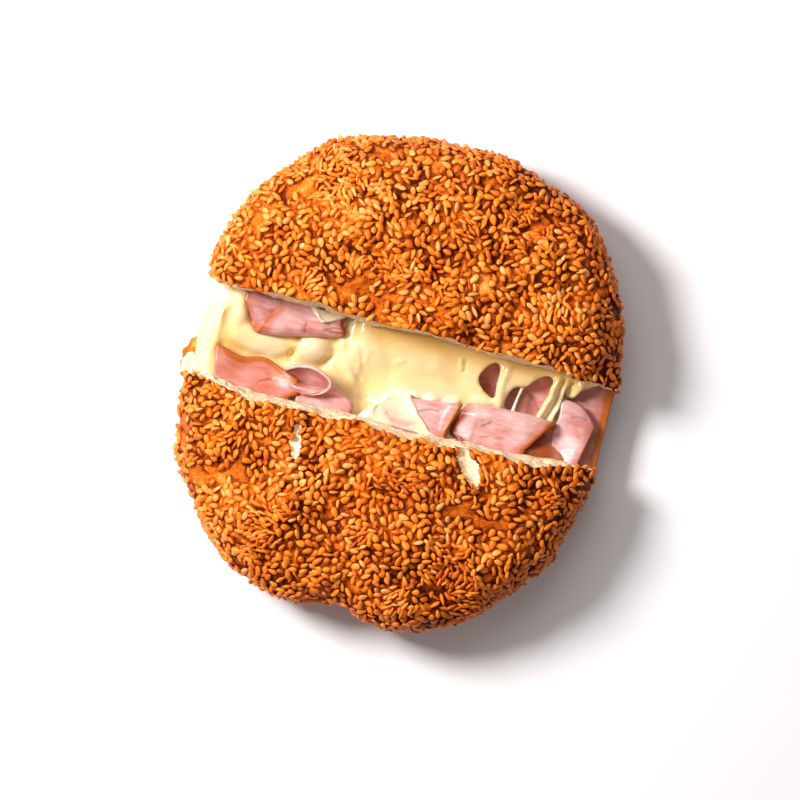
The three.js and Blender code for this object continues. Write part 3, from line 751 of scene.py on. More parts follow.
def base_half(side):
    points, quads, kind, ring, climb = half_grid(
        side, base_under, base_top, base_wall, BASE_SETBACK, BASE_GRAIN, BASE_LAYERS
    )
    local_x, local_y = points[:, 0].copy(), points[:, 1].copy()
    points = to_gap(points, side)
    normals = vertex_normals(points, quads)
    rise, cracks = wrinkles(points)
    off_floor = smoothstep(points[:, 2], 0, 2)
    kind = np.where((climb == 1) & (ring < 1), HIDDEN, kind)
    lift = np.where(kind == SKIN, rise, np.where(kind == FACE, -pores(points), 0)) * off_floor
    points = points + normals * lift[:, None]
    toast = crust_tone(points, local_x, local_y, cracks)
    is_crumb = (kind == FACE) | ((climb == 1) & (ring < 1))
    crumb = np.where(is_crumb, smoothstep(climb, 0.0, 0.1), 0.0)
    tones = np.stack([toast, crumb, np.zeros(len(points))], axis=1)
    if side == BACK:
        return points, quads, tones, kind
    parts = [(points, quads, tones)] + [torn_end(*recipe) for recipe in TORN_ENDS]
    points, quads, tones = joined(parts)
    return points, quads, tones, np.append(kind, np.full(len(points) - len(kind), HIDDEN))


def torn_end(half_sizes, turn, middle):
    """A ragged lump of crumb with some crust, where the front base has torn."""
    places, quads, _ = box_surface((28, 28, 18))
    ball = unit((places - 0.5) * 2)
    points = ball * half_sizes
    ragged = layered(points, TORN_END_LUMPS)
    points = points * (1 + 0.6 * ragged / min(half_sizes))[:, None]
    across = points[:, 0] * math.cos(turn) - points[:, 1] * math.sin(turn)
    along = points[:, 0] * math.sin(turn) + points[:, 1] * math.cos(turn)
    points = to_gap(np.stack([across, along, points[:, 2]], axis=1) + middle, FRONT)
    points[:, 2] = np.maximum(points[:, 2], 0.2)
    toast = 0.5 + 0.35 * noise(points, 2.4, 93)
    crumb = smoothstep(noise(points, 3, 94) + 0.3 * ball[:, 2], -0.2, 0.5)
    return points, quads, np.stack([toast, crumb, np.zeros(len(points))], axis=1)


# ---------------------------------------------------------------- the seeds

SEED_LENGTH = 3.4
SEED_WIDTH = 2.0
SEED_HEIGHT = 1.15
SEED_SPACING = 2.02
GROUP_SPACING = 1.3  # where seeds stand on edge side by side
COLLAR = 0.55  # how high the crust rises round a seed
COLLAR_BASE = 0.45  # share of the collar by which all the crust is raised
COLLAR_REACH = (0.6, 1.9)  # distances from a seed's middle between which the collar falls off
GAP_REACH = (1.4, 2.2)  # the same for the painted shade and toast in the gaps between seeds
GAP_TOAST_AND_SHADE = 0.34
GAP_SHADE_SPREAD = 0.2
SEED_SIDES = 8
SEED_RINGS = 6
SEED_REACH = 0.36  # from a seed's middle to the outer points of its spine, as a share of its length
HEADINGS_TRIED = 8
LEAN_SPREAD = 0.22
FLAT_ROLL_SPREAD = 0.36
EDGE_ROLLS = (0.8, 1.4)  # of a seed that stands on edge
ON_EDGE_SHARES = (0.12, 0.85)  # of the seeds alone and of the seeds in groups
SIZE_SPREAD = 0.11
SHADE_SPREAD = 0.15
LEAST_RISE = 0.12  # of a seed's middle over the crust
RISE_SPREAD = 0.25
EDGE_RISE = 0.25
LID_PLACES = 26000  # places tried for seeds on a lid, and the height from which they lie
LID_LOWEST = 16.5
BASE_PLACES = 5000
BASE_LOWEST = 2.0

PALE_SEED = np.array([1.0, 0.49, 0.13])
GOLDEN_SEED = np.array([1.0, 0.25, 0.014])
DARK_SEED = np.array([0.62, 0.12, 0.005])


def seed_form(pointed, flat, bent):
    """One seed's points and triangles: pointed at one end, and of length 2 and half-width 1."""
    stations = np.cos(np.linspace(0, np.pi, SEED_RINGS + 1))[1:-1]
    rings = []
    for along in stations:
        round_end = math.sqrt(1 - along**2)
        wide = round_end * (1 - pointed * along - 0.12 * max(0, along) ** 2)
        turns = np.arange(SEED_SIDES) * 2 * np.pi / SEED_SIDES
        thick = wide * (1 - flat * (1 - round_end))
        lift = bent * (1 - along**2)
        level = np.full(SEED_SIDES, along)
        rings.append(np.stack([level, wide * np.cos(turns), thick * np.sin(turns) + lift], axis=1))
    points = np.concatenate([[[1, 0, 0]], *rings, [[-1, 0, 0]]])
    triangles = []
    last = len(points) - 1
    for i in range(SEED_SIDES):
        after = (i + 1) % SEED_SIDES
        triangles.append((0, 1 + i, 1 + after))
        triangles.append((last, last - SEED_SIDES + after, last - SEED_SIDES + i))
        for ring in range(SEED_RINGS - 2):
            here = 1 + ring * SEED_SIDES
            beyond = here + SEED_SIDES
            triangles.append((here + i, beyond + i, beyond + after))
            triangles.append((here + i, beyond + after, here + after))
    return points, np.array(triangles)


def spaced(points, spacings):
    """Indices of points that keep their spacings from each other, first come first served."""
    cells = {}
    kept = []
    around = list(itertools.product((-1, 0, 1), repeat=3))
    for index, (point, spacing) in enumerate(zip(points, spacings)):
        x, y, z = (int(value // SEED_SPACING) for value in point)
        near = (cells.get((x + i, y + j, z + k), ()) for i, j, k in around)
        if all(math.dist(point, other) >= spacing for group in near for other in group):
            cells.setdefault((x, y, z), []).append(tuple(point))
            kept.append(index)
    return np.array(kept)


def scattered(points, quads, allowed, density, count, random):
    """Random places on a mesh's allowed faces, and the number of the face that each is on."""
    corners = points[quads]
    facing = np.cross(corners[:, 2] - corners[:, 0], corners[:, 3] - corners[:, 1])
    area = np.linalg.norm(facing, axis=1) / 2 * allowed * density
    chosen = random.choice(len(quads), count, p=area / area.sum())
    u, v = random.random((2, count, 1))
    picked = corners[chosen]
    low = lerp(picked[:, 0], picked[:, 1], u)
    high = lerp(picked[:, 3], picked[:, 2], u)
    return lerp(low, high, v), chosen


def settled_headings(places, normals, grouped, random):
    """A heading for each seed, of several tried the one that keeps it clearest of its neighbours.
    Grouped seeds lie side by side."""
    cells = {}
    spines = np.zeros((len(places), 3, 3))
    headings = np.zeros_like(places)
    steps = np.array([-1.0, 0.0, 1.0])[:, None] * SEED_LENGTH * SEED_REACH
    around = list(itertools.product((-1, 0, 1), repeat=3))
    shared = np.stack([noise(places, 13, seed) for seed in (56, 57, 58)], axis=1)
    shared = unit(np.cross(shared, normals)) * (3 * grouped)[:, None]
    for index, (place, normal) in enumerate(zip(places, normals)):
        x, y, z = (int(value // SEED_LENGTH) for value in place)
        near = [other for i, j, k in around for other in cells.get((x + i, y + j, z + k), ())]
        tried = unit(np.cross(random.normal(size=(HEADINGS_TRIED, 3)), normal) + shared[index])
        best = 0
        if near:
            ends = place + tried[:, None] * steps[None]
            others = spines[near].reshape(-1, 3)
            gaps = np.linalg.norm(ends[:, :, None] - others[None, None], axis=3)
            best = int(gaps.min(axis=(1, 2)).argmax())
        headings[index] = tried[best]
        spines[index] = place + tried[best] * steps
        cells.setdefault((x, y, z), []).append(index)
    return headings


# Name, share of all seeds, pointed, flat, bent, size and how much paler than most.
SEED_KINDS = [
    ("seeds_plump", 0.46, 0.26, 0.0, 0.06, 1.0, 0.05),
    ("seeds_slim", 0.30, 0.16, 0.3, 0.16, 0.94, 0.18),
    ("seeds_toasted", 0.24, 0.32, 0.2, -0.1, 0.9, -0.16),
]


def grouping(places):
    """How far the seeds at each place stand on edge, side by side, from 0 to 1."""
    return smoothstep(noise(places, 8, 55), 0.2, 0.45)


def seed_colours(toast, paler, random):
    """Each seed's colour, from how toasted the crust is there, which takes in the crust's painted shade on
    its rim and right side and in its pits.
    """
    shade = 0.52 - 1.1 * (toast - TOAST) + paler + SHADE_SPREAD * random.normal(size=len(toast))
    shade = np.clip(shade, 0, 1)[:, None]
    dark = lerp(DARK_SEED, GOLDEN_SEED, np.clip(2 * shade, 0, 1))
    return lerp(dark, PALE_SEED, np.clip(2 * shade - 1, 0, 1))


def sow(skins, material):
    """Covers the crust with seeds, one piece for each kind of seed."""
    random = np.random.default_rng(41)
    places, normals, toasts = [], [], []
    for points, quads, tones, kind, count, lowest in skins:
        centre = points[quads].mean(axis=1)
        crumb = tones[quads, 1].max(axis=1)
        allowed = (kind[quads] == SKIN).all(axis=1) & (crumb < 0.25) & (centre[:, 2] > lowest)
        density = np.ones(len(quads))
        for near in spots_at(centre, BARE_SPOTS):
            density *= 1 - 0.93 * near
        density *= 0.01 + 0.99 * smoothstep(noise(centre, 6, 51), -0.55, -0.3)
        smooth = vertex_normals(points, quads)
        for _ in range(2):
            smooth[quads] = np.repeat(unit(smooth[quads].sum(axis=1))[:, None], 4, axis=1)
        where, chosen = scattered(points, quads, allowed, density, count, random)
        kept = spaced(where, lerp(SEED_SPACING, GROUP_SPACING, grouping(where)))
        places.append(where[kept])
        normals.append(smooth[quads[chosen[kept], 0]])
        toasts.append(tones[quads[chosen[kept], 0], 0])
    places, normals, toasts = (np.concatenate(parts) for parts in (places, normals, toasts))
    grouped = grouping(places)
    headings = settled_headings(places, normals, grouped, random)

    count = len(places)
    lean = random.normal(size=count) * LEAN_SPREAD
    on_edge = random.random(count) < lerp(*ON_EDGE_SHARES, grouped)
    edge_roll = random.uniform(*EDGE_ROLLS, count)
    roll = np.where(on_edge, edge_roll, FLAT_ROLL_SPREAD * random.normal(size=count))
    sideways = np.cross(normals, headings)
    headings = unit(headings + normals * lean[:, None])
    sideways = unit(sideways * np.cos(roll)[:, None] + normals * np.sin(roll)[:, None])
    up = np.cross(headings, sideways)
    sizes = 1 + SIZE_SPREAD * random.normal(size=(count, 3))
    rise = LEAST_RISE + RISE_SPREAD * random.random((count, 1)) + EDGE_RISE * on_edge[:, None]
    centres = places + normals * rise

    kinds = random.choice(len(SEED_KINDS), count, p=[kind[1] for kind in SEED_KINDS])
    for number, (name, _, pointed, flat, bent, size, paler) in enumerate(SEED_KINDS):
        mine = kinds == number
        form, triangles = seed_form(pointed, flat, bent)
        half = np.array([SEED_LENGTH, SEED_WIDTH, SEED_HEIGHT]) / 2 * size
        scaled = form[None] * half * sizes[mine][:, None]
        axes = np.stack([headings[mine], sideways[mine], up[mine]], axis=1)
        points = centres[mine][:, None] + scaled @ axes
        faces = triangles[None] + (np.arange(mine.sum()) * len(form))[:, None, None]
        colours = seed_colours(toasts[mine], paler, random)
        tones = np.repeat(colours, len(form), axis=0)
        mesh_piece(name, points.reshape(-1, 3), faces.reshape(-1, 3), tones, material, "crust")
    return places


def settled_crust(points, quads, tones, kind, seeds):
    """The crust's points and tones, raised round the seeds, with painted shade and darker toast in the
    gaps between them.
    """
    nearest = KDTree(len(seeds))
    for index, place in enumerate(seeds):
        nearest.insert(place, index)
    nearest.balance()
    away = np.array([nearest.find(point)[2] for point in points])
    off_floor = smoothstep(points[:, 2], 0.2, 2)
    raised = COLLAR * (COLLAR_BASE - smoothstep(away, *COLLAR_REACH)) * (kind == SKIN) * off_floor
    # Painted shade, with some toast, darkens the crust in the gaps between seeds.
    between = GAP_TOAST_AND_SHADE + GAP_SHADE_SPREAD * noise(points, 9, 14)
    toast = tones[:, :1] + (between * (1 - smoothstep(away, *GAP_REACH)))[:, None]
    points = points + vertex_normals(points, quads) * raised[:, None]
    return points, np.concatenate([toast, tones[:, 1:]], axis=1)


# ---------------------------------------------------------------- the ham


def spline(knots, share):
    """A smooth curve through knots of shape (count, points, axes), at a share of its way."""
    last = len(knots) - 1
    at = np.clip(share, 0, 1) * last
    start = np.minimum(at.astype(int), last - 1)
    t = (at - start)[:, None]
    row = np.arange(knots.shape[1])
    before, here, after, beyond = (knots[np.clip(start + step, 0, last), row] for step in (-1, 0, 1, 2))
    leaving = (after - before) / 2
    arriving = (beyond - here) / 2
    cubic = 2 * here - 2 * after + leaving + arriving
    square = 3 * after - 3 * here - 2 * leaving - arriving
    return cubic * t**3 + square * t**2 + leaving * t + here


def tucked_end(x, side, reach):
    """Where a slice that lies in a half at x ends inside the bread."""
    inside = extent_within(reach, lambda depth: (x, side * depth), x.shape)
    return side * (CUT + np.maximum(LEAST_TUCK, inside))


def tucked_in(y, row, rows, first, last):
    """A slice's Y with its first and its last row inside the bread. First and last give the X there,
    the half and how far the slice reaches into it."""
    x, side, reach = first
    goes_in = lerp(tucked_end(x, side, reach), side * MOUTH, np.minimum(row, 1))
    x, side, reach = last
    comes_back = lerp(side * MOUTH, tucked_end(x, side, reach), np.maximum(row - rows + 1, 0))
    return np.where(row < 1, goes_in, np.where(row > rows - 1, comes_back, y))


def place_of(x, y, z):
    return np.stack(np.broadcast_arrays(x, y, z), axis=1).astype(float)


def flap(rows, root_x, free_x, free_y, level, free_level, rise):
    """A slice that leaves the front half over the cheese and ends free in the gap."""

    def point(u, row):
        root = lerp(*root_x, u)
        mouth = FRONT * MOUTH
        out = np.clip((row - 1) / (rows - 1), 0, 1)
        z = lerp(level, free_level, out * out) + rise * np.sin(np.pi * out) * np.cos(5 * u)
        x = lerp(root, lerp(*free_x, u), out)
        y = lerp(mouth, free_y(u), out)
        in_bread = row < 1
        y = np.where(in_bread, lerp(tucked_end(root, FRONT, HAM_REACH), mouth, row), y)
        return place_of(x, y, np.where(in_bread, level, z))

    return point


def fold(rows, side, low_x, fold_x, high_x, fold_y, fold_level, puff):
    """A slice that leaves one half low, folds back over itself in the gap and goes in again above."""

    def point(u, row):
        low_root = lerp(*low_x, u)
        high_root = lerp(*high_x, u)
        mouth = side * MOUTH
        left, middle, right = fold_y
        tip = left * (1 - u) * (1 - 2 * u) + 4 * middle * u * (1 - u) + right * u * (2 * u - 1)
        belly = np.minimum(puff, 0.45 * np.abs(mouth - tip))
        shoulder = tip + side * belly
        waist = (mouth + shoulder) / 2
        same = np.ones_like(u)
        knots = np.stack(
            [
                np.stack([mouth * same, HAM_LOW * same], axis=1),
                np.stack([waist, lerp(HAM_LOW, fold_level - belly, 0.8)], axis=1),
                np.stack([shoulder, fold_level - belly], axis=1),
                np.stack([tip, fold_level * same], axis=1),
                np.stack([shoulder, fold_level + belly], axis=1),
                np.stack([waist, lerp(HAM_HIGH, fold_level + belly, 0.2)], axis=1),
                np.stack([mouth * same, HAM_HIGH * same], axis=1),
            ]
        )
        out = np.clip((row - 1) / (rows - 2), 0, 1)
        y, z = spline(knots, out).T
        fold_at = lerp(*fold_x, u)
        x = np.where(out < 0.5, lerp(low_root, fold_at, 2 * out), lerp(fold_at, high_root, 2 * out - 1))
        ends = (low_root, side, HAM_REACH), (high_root, side, HAM_REACH)
        return place_of(x, tucked_in(y, row, rows, *ends), z)

    return point


def bridge(rows, left_x, right_x, sag, ripple):
    """A slice under the cheese that spans the gap from the front half to the back half."""

    def point(u, row):
        x = lerp(left_x, right_x, u)
        out = np.clip((row - 1) / (rows - 2), 0, 1)
        arch = np.sin(np.pi * out) ** 2
        z = HAM_DEEP - sag * arch + ripple * arch * np.sin(5 * u + 4 * out)
        ends = (x, FRONT, DEEP_REACH), (x, BACK, DEEP_REACH)
        return place_of(x, tucked_in(lerp(-MOUTH, MOUTH, out), row, rows, *ends), z)

    return point


CURL_CREASE = 0.1  # share of the doubled slice's half width that its crease takes
CURL_TURNS = (-158, 146)  # bearings of the roll's two edges, in degrees
CURL_LEAN = 0.34  # how steeply the roll's mouth climbs to the right


def curl(rows, axis_x, open_x, open_y, lift, root_wide, open_wide, open_high):
    """A slice that lies doubled in the bread, creased on its right, and opens into a roll."""
    level = (HAM_LOW + HAM_HIGH) / 2
    flat_high = (HAM_HIGH - HAM_LOW) / 2
    mouth = FRONT * MOUTH
    axis = np.array(
        [
            (axis_x, mouth, level),
            (lerp(axis_x, open_x, 0.4), lerp(mouth, open_y, 0.5), level),
            (lerp(axis_x, open_x, 0.9), lerp(mouth, open_y, 0.9), level + lift / 2),
            (open_x, open_y, level + lift),
        ]
    )

    def point(u, row):
        out = np.clip((row - 1) / (rows - 1), 0, 1)
        centre = spline(np.repeat(axis[:, None], len(u), axis=1), out)
        end = tucked_end(np.array([axis_x]), FRONT, HAM_REACH * 0.96)[0]
        centre[:, 1] = np.where(row < 1, lerp(end, mouth, row), centre[:, 1])
        opened = smoothstep(out, 0.2, 1)
        from_crease = 2 * u - 1
        layer = np.maximum(0, np.abs(from_crease) - CURL_CREASE) / (1 - CURL_CREASE)
        flat_x = root_wide * (1 - 2 * layer)
        flat_z = flat_high * np.clip(from_crease / CURL_CREASE, -1, 1)
        turn = np.radians(lerp(*CURL_TURNS, u))
        tilt = opened * np.pi / 2
        high = lerp(flat_z, open_high * np.sin(turn), opened)
        away = lerp(flat_x, open_wide * np.cos(turn), opened)
        z = centre[:, 2] + high * np.cos(tilt) + CURL_LEAN * opened * away
        return place_of(centre[:, 0] + away, centre[:, 1] - high * np.sin(tilt), z)

    return point


def moved(point, shift):
    """A slice that is moved by shift(u, y, z) where it is free of the bread."""

    def point_moved(u, row):
        place = point(u, row)
        free = smoothstep(CUT - np.abs(place[:, 1]), 0.3, 2.4)
        return place + free[:, None] * np.stack(np.broadcast_arrays(*shift(u, *place.T[1:])), axis=1)

    return point_moved


def lie_over_curl(u, y, z):
    """The left flap's right edge lies on the curl."""
    near = smoothstep(u, 0.72, 1)
    return 2.8 * near, 0, 1.5 * near


def curl_up(u, y, z):
    """The centre flap's right edge stands up a little beside the fold."""
    near = smoothstep(u, 0.55, 1)
    return 0, 0, 1.6 * near * smoothstep(u, 0.5, 1.1)


def dip_and_widen(u, y, z):
    """The right fold's left end dips under the flap beside it, and its lower layer is wider."""
    near_left = 1 - smoothstep(u, 0, 0.16)
    is_low = 1 - smoothstep(z, 17.3, 18.4)
    widened = smoothstep(u, 0.55, 1) * smoothstep(-y, 1.5, 12) * is_low
    return 4.6 * widened - 3.4 * near_left * smoothstep(-y, 2, 11), 0, -1.8 * near_left - 0.5 * widened


def lie_under_fold(u, y, z):
    """The right slice's left edge lies under the fold beside it."""
    near = (1 - smoothstep(u, 0.1, 0.75)) * smoothstep(-y, -2, 5)
    return -1.5 * near, 0, -1.9 * near


def ham_slice(node, rows, run, *course, shift=None, **marks):
    """A slice's recipe: the node it stands for, its rows, how it runs and what marks it. The marks are
    how pale it is from 0 to 1, the rind on its edges as {edge: width}, where it has painted shade
    and the creases in it, seen from above. Its edges are left, right and free."""
    point = run(rows, *course)
    if shift:
        point = moved(point, shift)
    unmarked = {"rind": {}, "rusty": None, "creases": []}
    return {"node": node, "rows": rows, "point": point, **unmarked, **marks}


HAM_SLICES = [
    ham_slice(
        "ham_fold_back",
        9,
        fold,
        BACK,
        (-53.3, -20.5),
        (-47.6, -20),
        (-42.8, -22),
        (3.2, 5.6, 8.6),
        17.2,
        2.2,
        rind={"left": 1.0, "right": 0.5},
        # Paler than most slices, partly as painted light against the back lid's shadow.
        pale=0.7,
        creases=[
            [(-32.3, 9.4), (-32.6, 8.2), (-32.2, 7.1)],
            [(-26.2, 9.1), (-23.6, 10.2), (-20.9, 10.6)],
            [(-26.2, 9.0), (-23.0, 9.0), (-20.3, 9.5)],
        ],
    ),
    ham_slice(
        "ham_flap_left", 5, flap, (-57, -32.4), (-58.4, -33.6),
        lambda u: -4.2 + 0.9 * np.cos(9.5 * u) - 3.2 * u**4,
        HAM_HIGH, 18.2, 0.5,
        shift=lie_over_curl,
        rind={"free": 2.1, "right": 2.0},
        # Darker and warmer than most slices, partly as painted shade that offsets how it faces the key
        # lamp.
        pale=0.34,
        creases=[[(-44.6, -14.4), (-42.2, -11.6), (-38.9, -10.0)], [(-43.4, -14.2), (-38.6, -12.8)]],
    ),
    ham_slice(
        "ham_curl_left", 5, curl, -21.4, -28.2, -7.5, 3.2, 8.8, 7.6, 4.4,
        pale=0.6,
        rusty="hollow",
        creases=[[(-29.4, -11.4), (-26.0, -13.2), (-22.0, -15.0)]],
    ),
    ham_slice(
        "ham_flap_middle", 4, flap, (-7.6, 10.6), (-2.6, 3.2),
        lambda u: np.full_like(u, -6.9),
        HAM_HIGH, 15.8, 0.4,
        pale=0.6,
    ),
    ham_slice(
        "ham_flap_centre", 4, flap, (9.6, 18.2), (3.4, 21.0),
        lambda u: lerp(-5.2, -3, u),
        HAM_HIGH, 17.4, 0.4,
        shift=curl_up,
        rind={"right": 1.1},
        pale=0.74,
        creases=[[(8.6, -8.4), (11.6, -7.0), (14.4, -6.9)]],
    ),
    ham_slice(
        "ham_fold_right",
        9,
        fold,
        FRONT,
        (22.4, 52.2),
        (22, 50.9),
        (22.6, 43.4),
        (-2.6, -1.6, -1.8),
        17.6,
        2.7,
        shift=dip_and_widen,
        rind={"right": 1.4, "left": 0.5},
        pale=0.76,
        rusty="fold",
        creases=[
            [(28.2, -7.5), (30.5, -6.0)],
            [(28.4, -11.3), (30.6, -10.8)],
            [(33.2, -10.6), (34.6, -10.2)],
        ],
    ),
    ham_slice(
        "ham_slice_right", 5, flap, (53, 60.6), (50.6, 62.8),
        lambda u: 6.4 - 6.5 * u**3,
        HAM_LOW, 15.4, 0.2,
        shift=lie_under_fold,
        rind={"right": 0.5},
        pale=0.8,
        creases=[[(55.6, 1.4), (57.6, 2.0), (60.0, 1.6)]],
    ),
    ham_slice(
        "ham_slice_edge", 7, bridge, 49.6, 66.4, 1.2, 0.3,
        rind={"right": 2.4},
        pale=0.56,
    ),
    ham_slice(
        "ham_slice_under", 7, bridge, 19, 48.8, 2.4, 0.7,
        pale=0.62,
        rusty="hole",
        creases=[
            [(23.6, 6.6), (26.4, 7.2), (29.0, 6.0), (30.6, 3.6)],
            [(33.0, 3.4), (35.6, 6.2), (38.4, 6.2), (42.0, 4.4), (45.4, 0.4)],
        ],
    ),
]

SLICE_COLUMNS = 64
SLICE_ROWS = 12  # of the mesh for each row of the slice
EDGE_ROUNDING = 0.7  # how far from its edge a slice gets thinner
EDGE_THINNING = 0.85  # how much of its thickness, squared, it has lost there
CREASE_SPREAD = 0.34
CREASE_DEPTH = 0.3
WARM_FADING = 3.0  # how far the warm colour beside the rind fades out
WARM_DARKENING = 0.45
HAM_SEED = 60
TUCK_GRADING = 2.5  # how much closer the mesh's rows are at the mouth than deep in the bread


def slice_mesh(recipe, seed):
    """A slice of ham as a thin bent solid with rounded edges."""
    rows = recipe["rows"]
    point = recipe["point"]
    places, quads, _ = box_surface((SLICE_COLUMNS, SLICE_ROWS * rows, 4))
    u, along, through = places.T
    row = along * rows
    row = np.where(row < 1, 1 - np.maximum(1 - row, 0) ** TUCK_GRADING, row)
    if abs(point(np.array([0.5]), np.array([rows]))[0, 1]) > CUT:
        returned = np.maximum(row - rows + 1, 0) ** TUCK_GRADING
        row = np.where(row > rows - 1, rows - 1 + returned, row)
    step = 1e-3
    middle = point(u, row)
    along_cut = point(u + step, row) - point(u - step, row)
    along_rows = point(u, row + step) - point(u, row - step)
    normal = unit(np.cross(along_cut, along_rows))
    per_u = np.linalg.norm(along_cut, axis=1) / (2 * step)
    per_row = np.linalg.norm(along_rows, axis=1) / (2 * step)
    from_edge = {"left": u * per_u, "right": (1 - u) * per_u, "free": (rows - row) * per_row}
    outer = np.minimum.reduce([*from_edge.values(), row * per_row])
    taper = np.sqrt(1 - (1 - np.clip(outer / EDGE_ROUNDING, 0, 1)) ** 2 * EDGE_THINNING)
    in_gap = smoothstep(CUT - np.abs(middle[:, 1]), 0.5, 4)
    crease = np.zeros(len(middle))
    for path in recipe["creases"]:
        crease = np.maximum(crease, bump(from_path(middle[:, 0], middle[:, 1], path), CREASE_SPREAD))
    wrinkle = layered(middle, [(0.40, 8, seed), (0.16, 3, seed + 1)]) - CREASE_DEPTH * crease
    offset = (through - 0.5) * HAM_THICKNESS * taper + in_gap * wrinkle
    points = middle + normal * offset[:, None]
    inner = through > 0.5
    return points, quads, slice_tones(recipe, seed, middle, row, inner, from_edge, crease, in_gap)


def slice_tones(recipe, seed, middle, row, inner, from_edge, crease, in_gap):
    """How much rind and painted shade a slice shows at each point, and how pale it is."""
    rows = recipe["rows"]
    rind = np.zeros(len(middle))
    warm = np.zeros(len(middle))
    for edge, width in recipe["rind"].items():
        uneven = width * (1 + 0.5 * noise(middle, 3, seed + 2))
        rind = np.maximum(rind, 1 - smoothstep(from_edge[edge], 0.7 * uneven, 1.1 * uneven))
        fading = WARM_FADING * (1 + 0.6 * noise(middle, 5, seed + 5))
        warm = np.maximum(warm, 1 - smoothstep(from_edge[edge], width, width + fading))
    # Painted shade in the creases.
    rust = 0.45 * crease * in_gap
    if recipe["rusty"] == "fold":
        # The inside of the fold gets painted shade, and rind colour for the smoked outer face that shows
        # there.
        inside_fold = inner & (row < rows / 2)
        rust = np.maximum(rust, inside_fold * lerp(0.3, 1, smoothstep(from_edge["right"], 2, 7)))
        rind = np.maximum(rind, inside_fold * lerp(0.75, 0.35, smoothstep(from_edge["right"], 1, 6)))
        # Painted shade where the left end dips under the flap beside it.
        dipped = 1 - smoothstep(from_edge["left"], 1.6, 5.0)
        rust = np.maximum(rust, dipped * smoothstep(-middle[:, 1], 3.0, 6))
        rind *= 1 - dipped
    if recipe["rusty"] == "hollow":
        # Painted shade inside the roll's hollow.
        inside_roll = inner & (row > 1)
        to_right = smoothstep(middle[:, 0], -33, -23)
        deep_and_shade = smoothstep(from_edge["free"], 0.2, 1.6) * lerp(0.8, 0.15, to_right)
        rust = np.maximum(rust, inside_roll * deep_and_shade)
    if recipe["rusty"] == "hole":
        # Painted shade on the slice where it shows through the first hole in the cheese.
        away = np.hypot(middle[:, 0] - 26, middle[:, 1] - 4)
        rust = np.maximum(rust, 0.6 * bump(away, 3.2) * smoothstep(noise(middle, 3, seed + 6), -0.7, 0.1))
    pale = layered(middle, [(0.3, 8, seed + 3), (0.14, 4, seed + 4)], recipe["pale"])
    pale -= WARM_DARKENING * warm
    return np.stack([rind, rust, np.clip(pale, 0, 1)], axis=1)


def make_ham(material):
    """Every slice of ham, and a search tree over all of them."""
    slices = []
    for number, recipe in enumerate(HAM_SLICES):
        points, quads, tones = slice_mesh(recipe, HAM_SEED + 5 * number)
        name = recipe["node"].replace("ham_", "slice_")
        mesh_piece(name, points, quads, tones, material, "ham", [recipe["node"]])
        slices.append((points, quads, tones))
    points, quads, _ = joined(slices)
    return BVHTree.FromPolygons(points.tolist(), quads.tolist())


# ---------------------------------------------------------------- the cheese

CHEESE_REACH = 0.965
CHEESE_LEFT = -65
CHEESE_RIGHT = 53
UNDER_HAM = HAM_LOW - HAM_THICKNESS / 2 - CLEARANCE
UNDER_LID = LID_UNDERSIDE - CLEARANCE
ON_BASE = BASE_TOP + CLEARANCE
ON_HAM = HAM_DEEP + HAM_THICKNESS / 2 + CLEARANCE
LEAST_CHEESE = 1.6
CHEESE_COLUMNS = 190
ROWS_IN_BREAD = 24  # of the cheese's mesh, in each half
ROWS_IN_GAP = 60
CHEESE_VOXEL = 0.7
SOFTENING = (0.5, 4)  # share and number of the passes that soften its edges
CEILING_GAP = 0.12  # between the cheese and the ham that lies on it
END_ROUNDING = (0.46, 2.6)  # share of the cheese's height that rounds its free ends off, and spread
HOLE_REACH = (4, 30)  # the heights between which a hole is cut

# Layers of noise: height, size and seed.
CHEESE_LUMPS = [(0.35, 8, 81), (0.16, 3.4, 82)]
OOZE_LUMPS = [(2.8, 8, 84), (1.2, 3.4, 85)]
OOZE = 0.8  # how far the cheese stands out of the split at the rim
OOZE_RANGE = (-0.3, 2.5)

# Outlines of the holes that the pull has opened in the cheese.
CHEESE_HOLES = [
    [
        *[(28.0, 12.4), (29.6, 11.0), (30.4, 6.3), (30.3, 0.9)],
        *[(27.0, 2.2), (25.0, 4.0), (24.1, 6.4), (25.2, 9.6)],
    ],
    [
        *[(33.4, -0.6), (33.6, 2.6), (35.0, 6.0), (37.4, 7.0), (39.2, 7.4), (41.0, 9.8)],
        *[(44.1, 11.8), (46.4, 11.4), (46.5, 7.2), (45.4, 3.0), (44.2, -1.2), (38.0, -2.2)],
    ],
]

